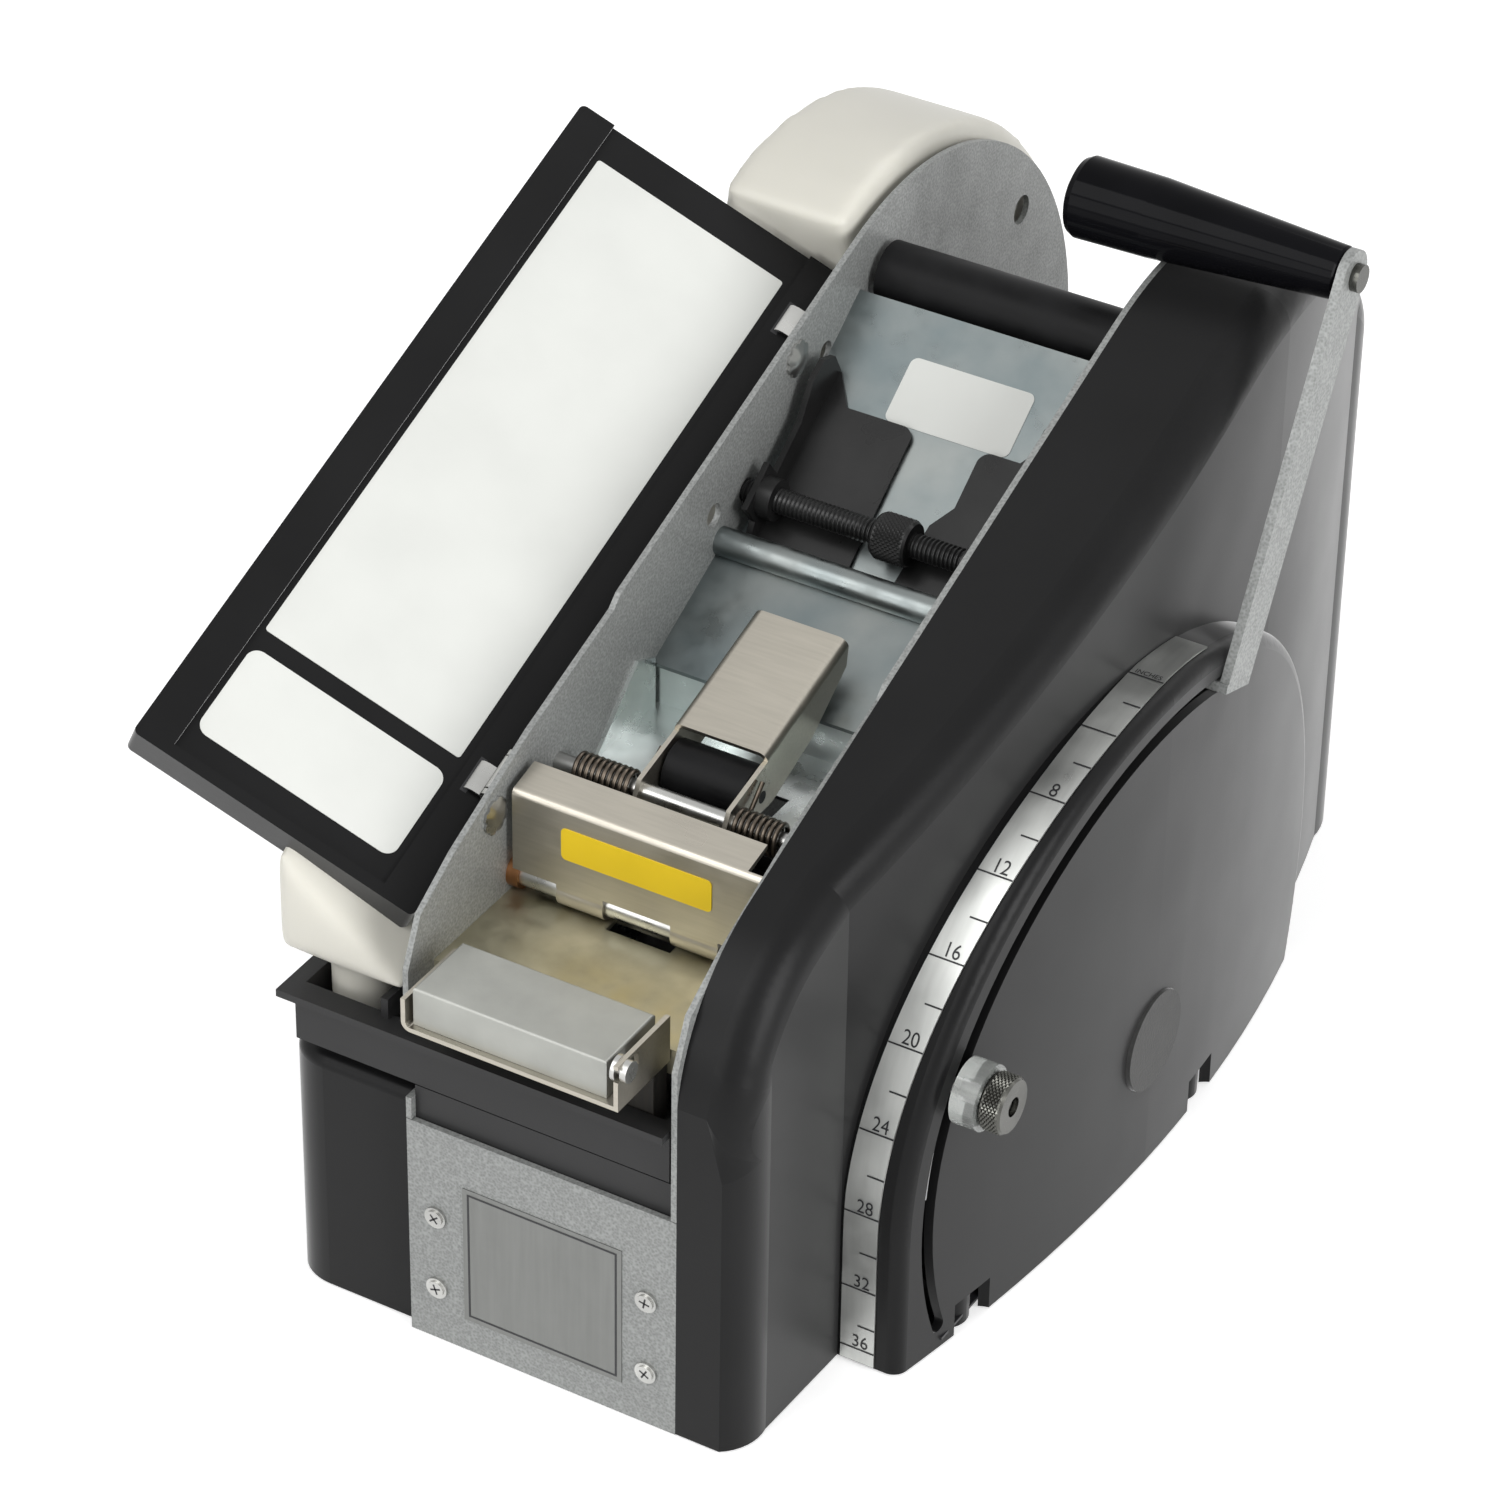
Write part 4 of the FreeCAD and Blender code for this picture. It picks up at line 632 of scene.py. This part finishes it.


# ---- name plate ---------------------------------------------------------------------------------
def plate_border():
    low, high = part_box("name_plate")
    bm = bmesh.new()
    y = low.y - 0.00006
    inset, width = 1.6 * MM, 0.7 * MM
    outer = [(low.x + inset, low.z + inset), (high.x - inset, low.z + inset), (high.x - inset, high.z - inset),
             (low.x + inset, high.z - inset)]
    inner = [(low.x + inset + width, low.z + inset + width), (high.x - inset - width, low.z + inset + width),
             (high.x - inset - width, high.z - inset - width), (low.x + inset + width, high.z - inset - width)]
    a = [bm.verts.new((x, y, z)) for x, z in outer]
    b = [bm.verts.new((x, y, z)) for x, z in inner]
    for i in range(4):
        j = (i + 1) % 4
        bm.faces.new((a[i], a[j], b[j], b[i]))
    piece("plate_border", finished(bm, "plate_border", False), "frame", "ink")


plate_border()


# ---- bent sheets: pressure channel and blade guard ----------------------------------------------
CHANNEL_NOSE = (90.0, 171.0)
CHANNEL_SLOPE = math.radians(17)
CHANNEL_START = 9.5
CHANNEL_LENGTH = 58.0
CHANNEL_HALF = 15.97
SHEET = 1.5
BEND = 3.0


def channel_point(along, above):
    """Y and Z of a point given along the channel's back and above it."""
    return (CHANNEL_NOSE[0] + along * math.cos(CHANNEL_SLOPE) - above * math.sin(CHANNEL_SLOPE),
            CHANNEL_NOSE[1] + along * math.sin(CHANNEL_SLOPE) + above * math.cos(CHANNEL_SLOPE))


def bent_channel():
    """Channel with round bends, whose sides slope down to the ears on the spring shaft."""
    bm = bmesh.new()

    def arch(radius):
        half = [(CHANNEL_HALF - BEND + radius * math.cos(math.radians(15 * step)),
                 -BEND + radius * math.sin(math.radians(15 * step))) for step in range(7)]
        return half + [(-x, above) for x, above in reversed(half)]

    outer_line, inner_line = arch(BEND), arch(BEND - SHEET)
    ends = []
    for along in (CHANNEL_START, CHANNEL_LENGTH):
        ends.append([[bm.verts.new(at(x, *channel_point(along, above))) for x, above in line]
                     for line in (outer_line, inner_line)])
    count = len(outer_line)
    for i in range(count - 1):
        for line in (0, 1):
            bm.faces.new((ends[0][line][i], ends[0][line][i + 1], ends[1][line][i + 1], ends[1][line][i]))
        for end in ends:
            bm.faces.new((end[0][i], end[0][i + 1], end[1][i + 1], end[1][i]))
    side = [channel_point(CHANNEL_START, -BEND), channel_point(CHANNEL_LENGTH, -BEND),
            channel_point(CHANNEL_LENGTH - 3, -9), channel_point(CHANNEL_LENGTH * 0.55, -17),
            (103, 155), (SPRING[0] + 2, SPRING[1] - 5.6), (SPRING[0] - 5.6, SPRING[1] - 1),
            (SPRING[0] - 2, SPRING[1] + 5.6)]
    for sign in (-1, 1):
        rims = [[bm.verts.new(at(sign * x, y, z)) for y, z in side] for x in (CHANNEL_HALF, CHANNEL_HALF - SHEET)]
        for rim in rims:
            bm.faces.new(rim)
        for i in range(1, len(side)):
            j = (i + 1) % len(side)
            bm.faces.new((rims[0][i], rims[0][j], rims[1][j], rims[1][i]))
    piece("bent_channel", finished(bm, "bent_channel"), "pressure_arm", "stainless", ["pressure_channel"], 40)


bent_channel()

GUARD_FACE = 52.0
GUARD_TOP = 168.0
GUARD_BEND = 0.0022


def bent_guard():
    """Blade guard with a round bend along its top edge."""
    mesh = nodes["blade_guard"].data.copy()
    bm = bmesh.new()
    bm.from_mesh(mesh)
    bmesh.ops.remove_doubles(bm, verts=bm.verts, dist=1e-6)
    bmesh.ops.dissolve_limit(bm, angle_limit=math.radians(1), verts=bm.verts, edges=bm.edges)
    line = at(0, GUARD_FACE, GUARD_TOP)
    bend = [edge for edge in bm.edges if edge.calc_length() > 0.02 and
            all(math.hypot(v.co.y - line.y, v.co.z - line.z) < 0.0003 for v in edge.verts)]
    if bend:
        bmesh.ops.bevel(bm, geom=bend, offset=GUARD_BEND, segments=5, profile=0.5, affect="EDGES",
                         clamp_overlap=True)
    bm.to_mesh(mesh)
    bm.free()
    piece("bent_guard", mesh, "cutter", "stainless", ["blade_guard"], 30)


bent_guard()


# ---- lid's straps, and the dark sheet of painted shade below the slot ---------------------------
SLOPE = math.radians(20.66)
TOP_LINE = 155.80
LID_TURN = math.radians(-151)
LID_EDGE = 52.0
LID_START = 8.3
LID_DROP = 17.5
STRAP_PLACES = (48.7, 236.7)


def on_lid(x, y, z):
    """Point by the open lid's own axes: out from the hinge, along it, and into its back."""
    across = x * math.cos(LID_TURN) + z * math.sin(LID_TURN)
    up = -x * math.sin(LID_TURN) + z * math.cos(LID_TURN) - LID_DROP
    along = LID_START + y
    return at(across - LID_EDGE, along * math.cos(SLOPE) - up * math.sin(SLOPE),
              TOP_LINE + along * math.sin(SLOPE) + up * math.cos(SLOPE))


def strap_band(name, middle):
    """Bright spring strap that comes out of the rail and wraps over its edge."""
    width, thick = 10.5, 0.9
    line = [(8.0, 0.3), (7.4, -0.5), (6.0, -0.9), (1.2, -1.0), (0.3, -0.8), (-0.3, -0.2), (-0.5, 0.8), (-0.5, 5.0)]
    bm = bmesh.new()
    rows = []
    for index, (x, z) in enumerate(line):
        before, after = line[max(index - 1, 0)], line[min(index + 1, len(line) - 1)]
        dx, dz = after[0] - before[0], after[1] - before[1]
        size = math.hypot(dx, dz)
        nx, nz = -dz / size, dx / size
        rows.append([bm.verts.new(on_lid(x + nx * lift, middle + side, z + nz * lift))
                     for side, lift in ((-width / 2, 0), (width / 2, 0), (width / 2, thick), (-width / 2, thick))])
    for low, high in zip(rows, rows[1:]):
        for i in range(4):
            j = (i + 1) % 4
            bm.faces.new((low[i], low[j], high[j], high[i]))
    bm.faces.new(rows[0])
    bm.faces.new(rows[-1])
    piece(name, finished(bm, name), "lid", "zinc_parts", smooth=40)


strap_band("strap_band_front", STRAP_PLACES[0])
strap_band("strap_band_rear", STRAP_PLACES[1])


def strap_slots():
    """Dark slots in the rail, where the straps come out: painted shade standing in for the openings."""
    bm = bmesh.new()
    for middle in STRAP_PLACES:
        corners = [(7.2, -6.4), (9.4, -6.4), (9.4, 6.4), (7.2, 6.4)]
        bm.faces.new([bm.verts.new(on_lid(x, middle + along, -0.05)) for x, along in corners])
    piece("strap_slots", finished(bm, "strap_slots", False), "lid", "ink")


strap_slots()


def slot_painted_shade():
    """Dark bottom sheet inside the housing, under the low end of the arc slot: painted shade that darkens the slot."""
    bm = bmesh.new()
    bmesh.ops.create_cube(bm, size=1.0, matrix=Matrix.LocRotScale(
        at(76.0, 113.0, 3.6), None, Vector((36.0, 76.0, 1.0)) * MM))
    piece("slot_painted_shade", finished(bm, "slot_painted_shade", False), "frame", "ink")


slot_painted_shade()

# ---- labels with round corners ------------------------------------------------------------------
def rounded(name, node, body, look, flat, corner, face=1.0):
    """Thin plate with round corners in place of a label; flat is the way it faces."""
    source = nodes[node].data
    middle = sum((v.co for v in source.vertices), Vector()) / len(source.vertices)
    across, along, out = label_axes(source, flat)
    half_across = max(abs((v.co - middle).dot(across)) for v in source.vertices)
    half_along = max(abs((v.co - middle).dot(along)) for v in source.vertices)
    half_out = max(abs((v.co - middle).dot(out)) for v in source.vertices)
    bm = bmesh.new()
    rim = []
    radius = corner * MM
    for sx, sy, start in ((1, 1, 0), (-1, 1, 90), (-1, -1, 180), (1, -1, 270)):
        for step in range(7):
            angle = math.radians(start + 15 * step)
            rim.append((sx * (half_across - radius) + radius * math.cos(angle),
                        sy * (half_along - radius) + radius * math.sin(angle)))
    top = [bm.verts.new(middle + across * a + along * b + out * half_out * face) for a, b in rim]
    low = [bm.verts.new(middle + across * a + along * b - out * half_out) for a, b in rim]
    bm.faces.new(top)
    bm.faces.new(low)
    for i in range(len(rim)):
        j = (i + 1) % len(rim)
        bm.faces.new((top[i], top[j], low[j], low[i]))
    piece(name, finished(bm, name), body, look, [node])


def label_axes(source, flat):
    """Axes of a box label: the two along its sides, and its normal, which lies nearest to flat."""
    best = max(source.polygons, key=lambda face: face.area * abs(face.normal.dot(flat)))
    out = best.normal.copy()
    if out.dot(flat) < 0:
        out.negate()
    corners = [source.vertices[i].co for i in best.vertices]
    sides = [b - a for a, b in zip(corners, corners[1:] + corners[:1])]
    sides.sort(key=lambda side: side.length)
    across = sides[-2].normalized()
    return across, out.cross(across).normalized(), out


rounded("guard_yellow_plate", "guard_label", "cutter", "yellow_label", Vector((0, -1, 0)), 1.6)
rounded("loading_label", "back_label", "frame", "white_label", Vector((0, 0, 1)), 2.5, 0.3)


# ---- small fasteners ----------------------------------------------------------------------------
def star_nut(name, y, z):
    """Toothed push-on nut on the left plate's inner face."""
    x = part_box("side_plate_left")[1].x / MM
    teeth = 8
    bm = bmesh.new()
    rings = []
    for along, radius, dip in ((0.0, 6.0, 0.8), (0.9, 6.0, 0.8), (1.5, 4.2, 0.5), (2.0, 2.4, 0.0), (2.2, 0.9, 0.0)):
        ring = []
        for i in range(teeth * 4):
            angle = 2 * math.pi * i / (teeth * 4)
            r = radius - dip if i % 4 == 0 else radius
            ring.append(bm.verts.new(at(x + along, y + r * math.cos(angle), z + r * math.sin(angle))))
        rings.append(ring)
    for low, high in zip(rings, rings[1:]):
        for i in range(teeth * 4):
            j = (i + 1) % (teeth * 4)
            bm.faces.new((low[i], low[j], high[j], high[i]))
    bm.faces.new(rings[0])
    bm.faces.new(rings[-1])
    piece(name, finished(bm, name), "frame", "zinc_parts", smooth=25)


star_nut("star_nut_front", 46.3, 161.6)
star_nut("star_nut_rear", 217.0, 228.8)


def panel_crosses():
    """Cross recesses in the four panel screws, drawn as dark slots just above the heads: painted shade in the
    recesses.
    """
    bm = bmesh.new()
    for index in range(1, 5):
        low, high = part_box("panel_screw_%d" % index)
        middle = (low + high) / 2
        y = low.y - 0.00003
        for turn in (20 * index, 20 * index + 90):
            angle = math.radians(turn)
            along = Vector((math.cos(angle), 0, math.sin(angle))) * 0.0018
            across = Vector((-math.sin(angle), 0, math.cos(angle))) * 0.0003
            face = [Vector((middle.x, y, middle.z)) + along * a + across * b for a, b in
                    ((-1, -1), (1, -1), (1, 1), (-1, 1))]
            bm.faces.new([bm.verts.new(corner) for corner in face])
    piece("screw_crosses", finished(bm, "screw_crosses", False), "frame", "ink")


panel_crosses()

for obj in nodes.values():
    obj.data.shade_smooth()
    obj.data.set_sharp_from_angle(angle=math.radians(28))
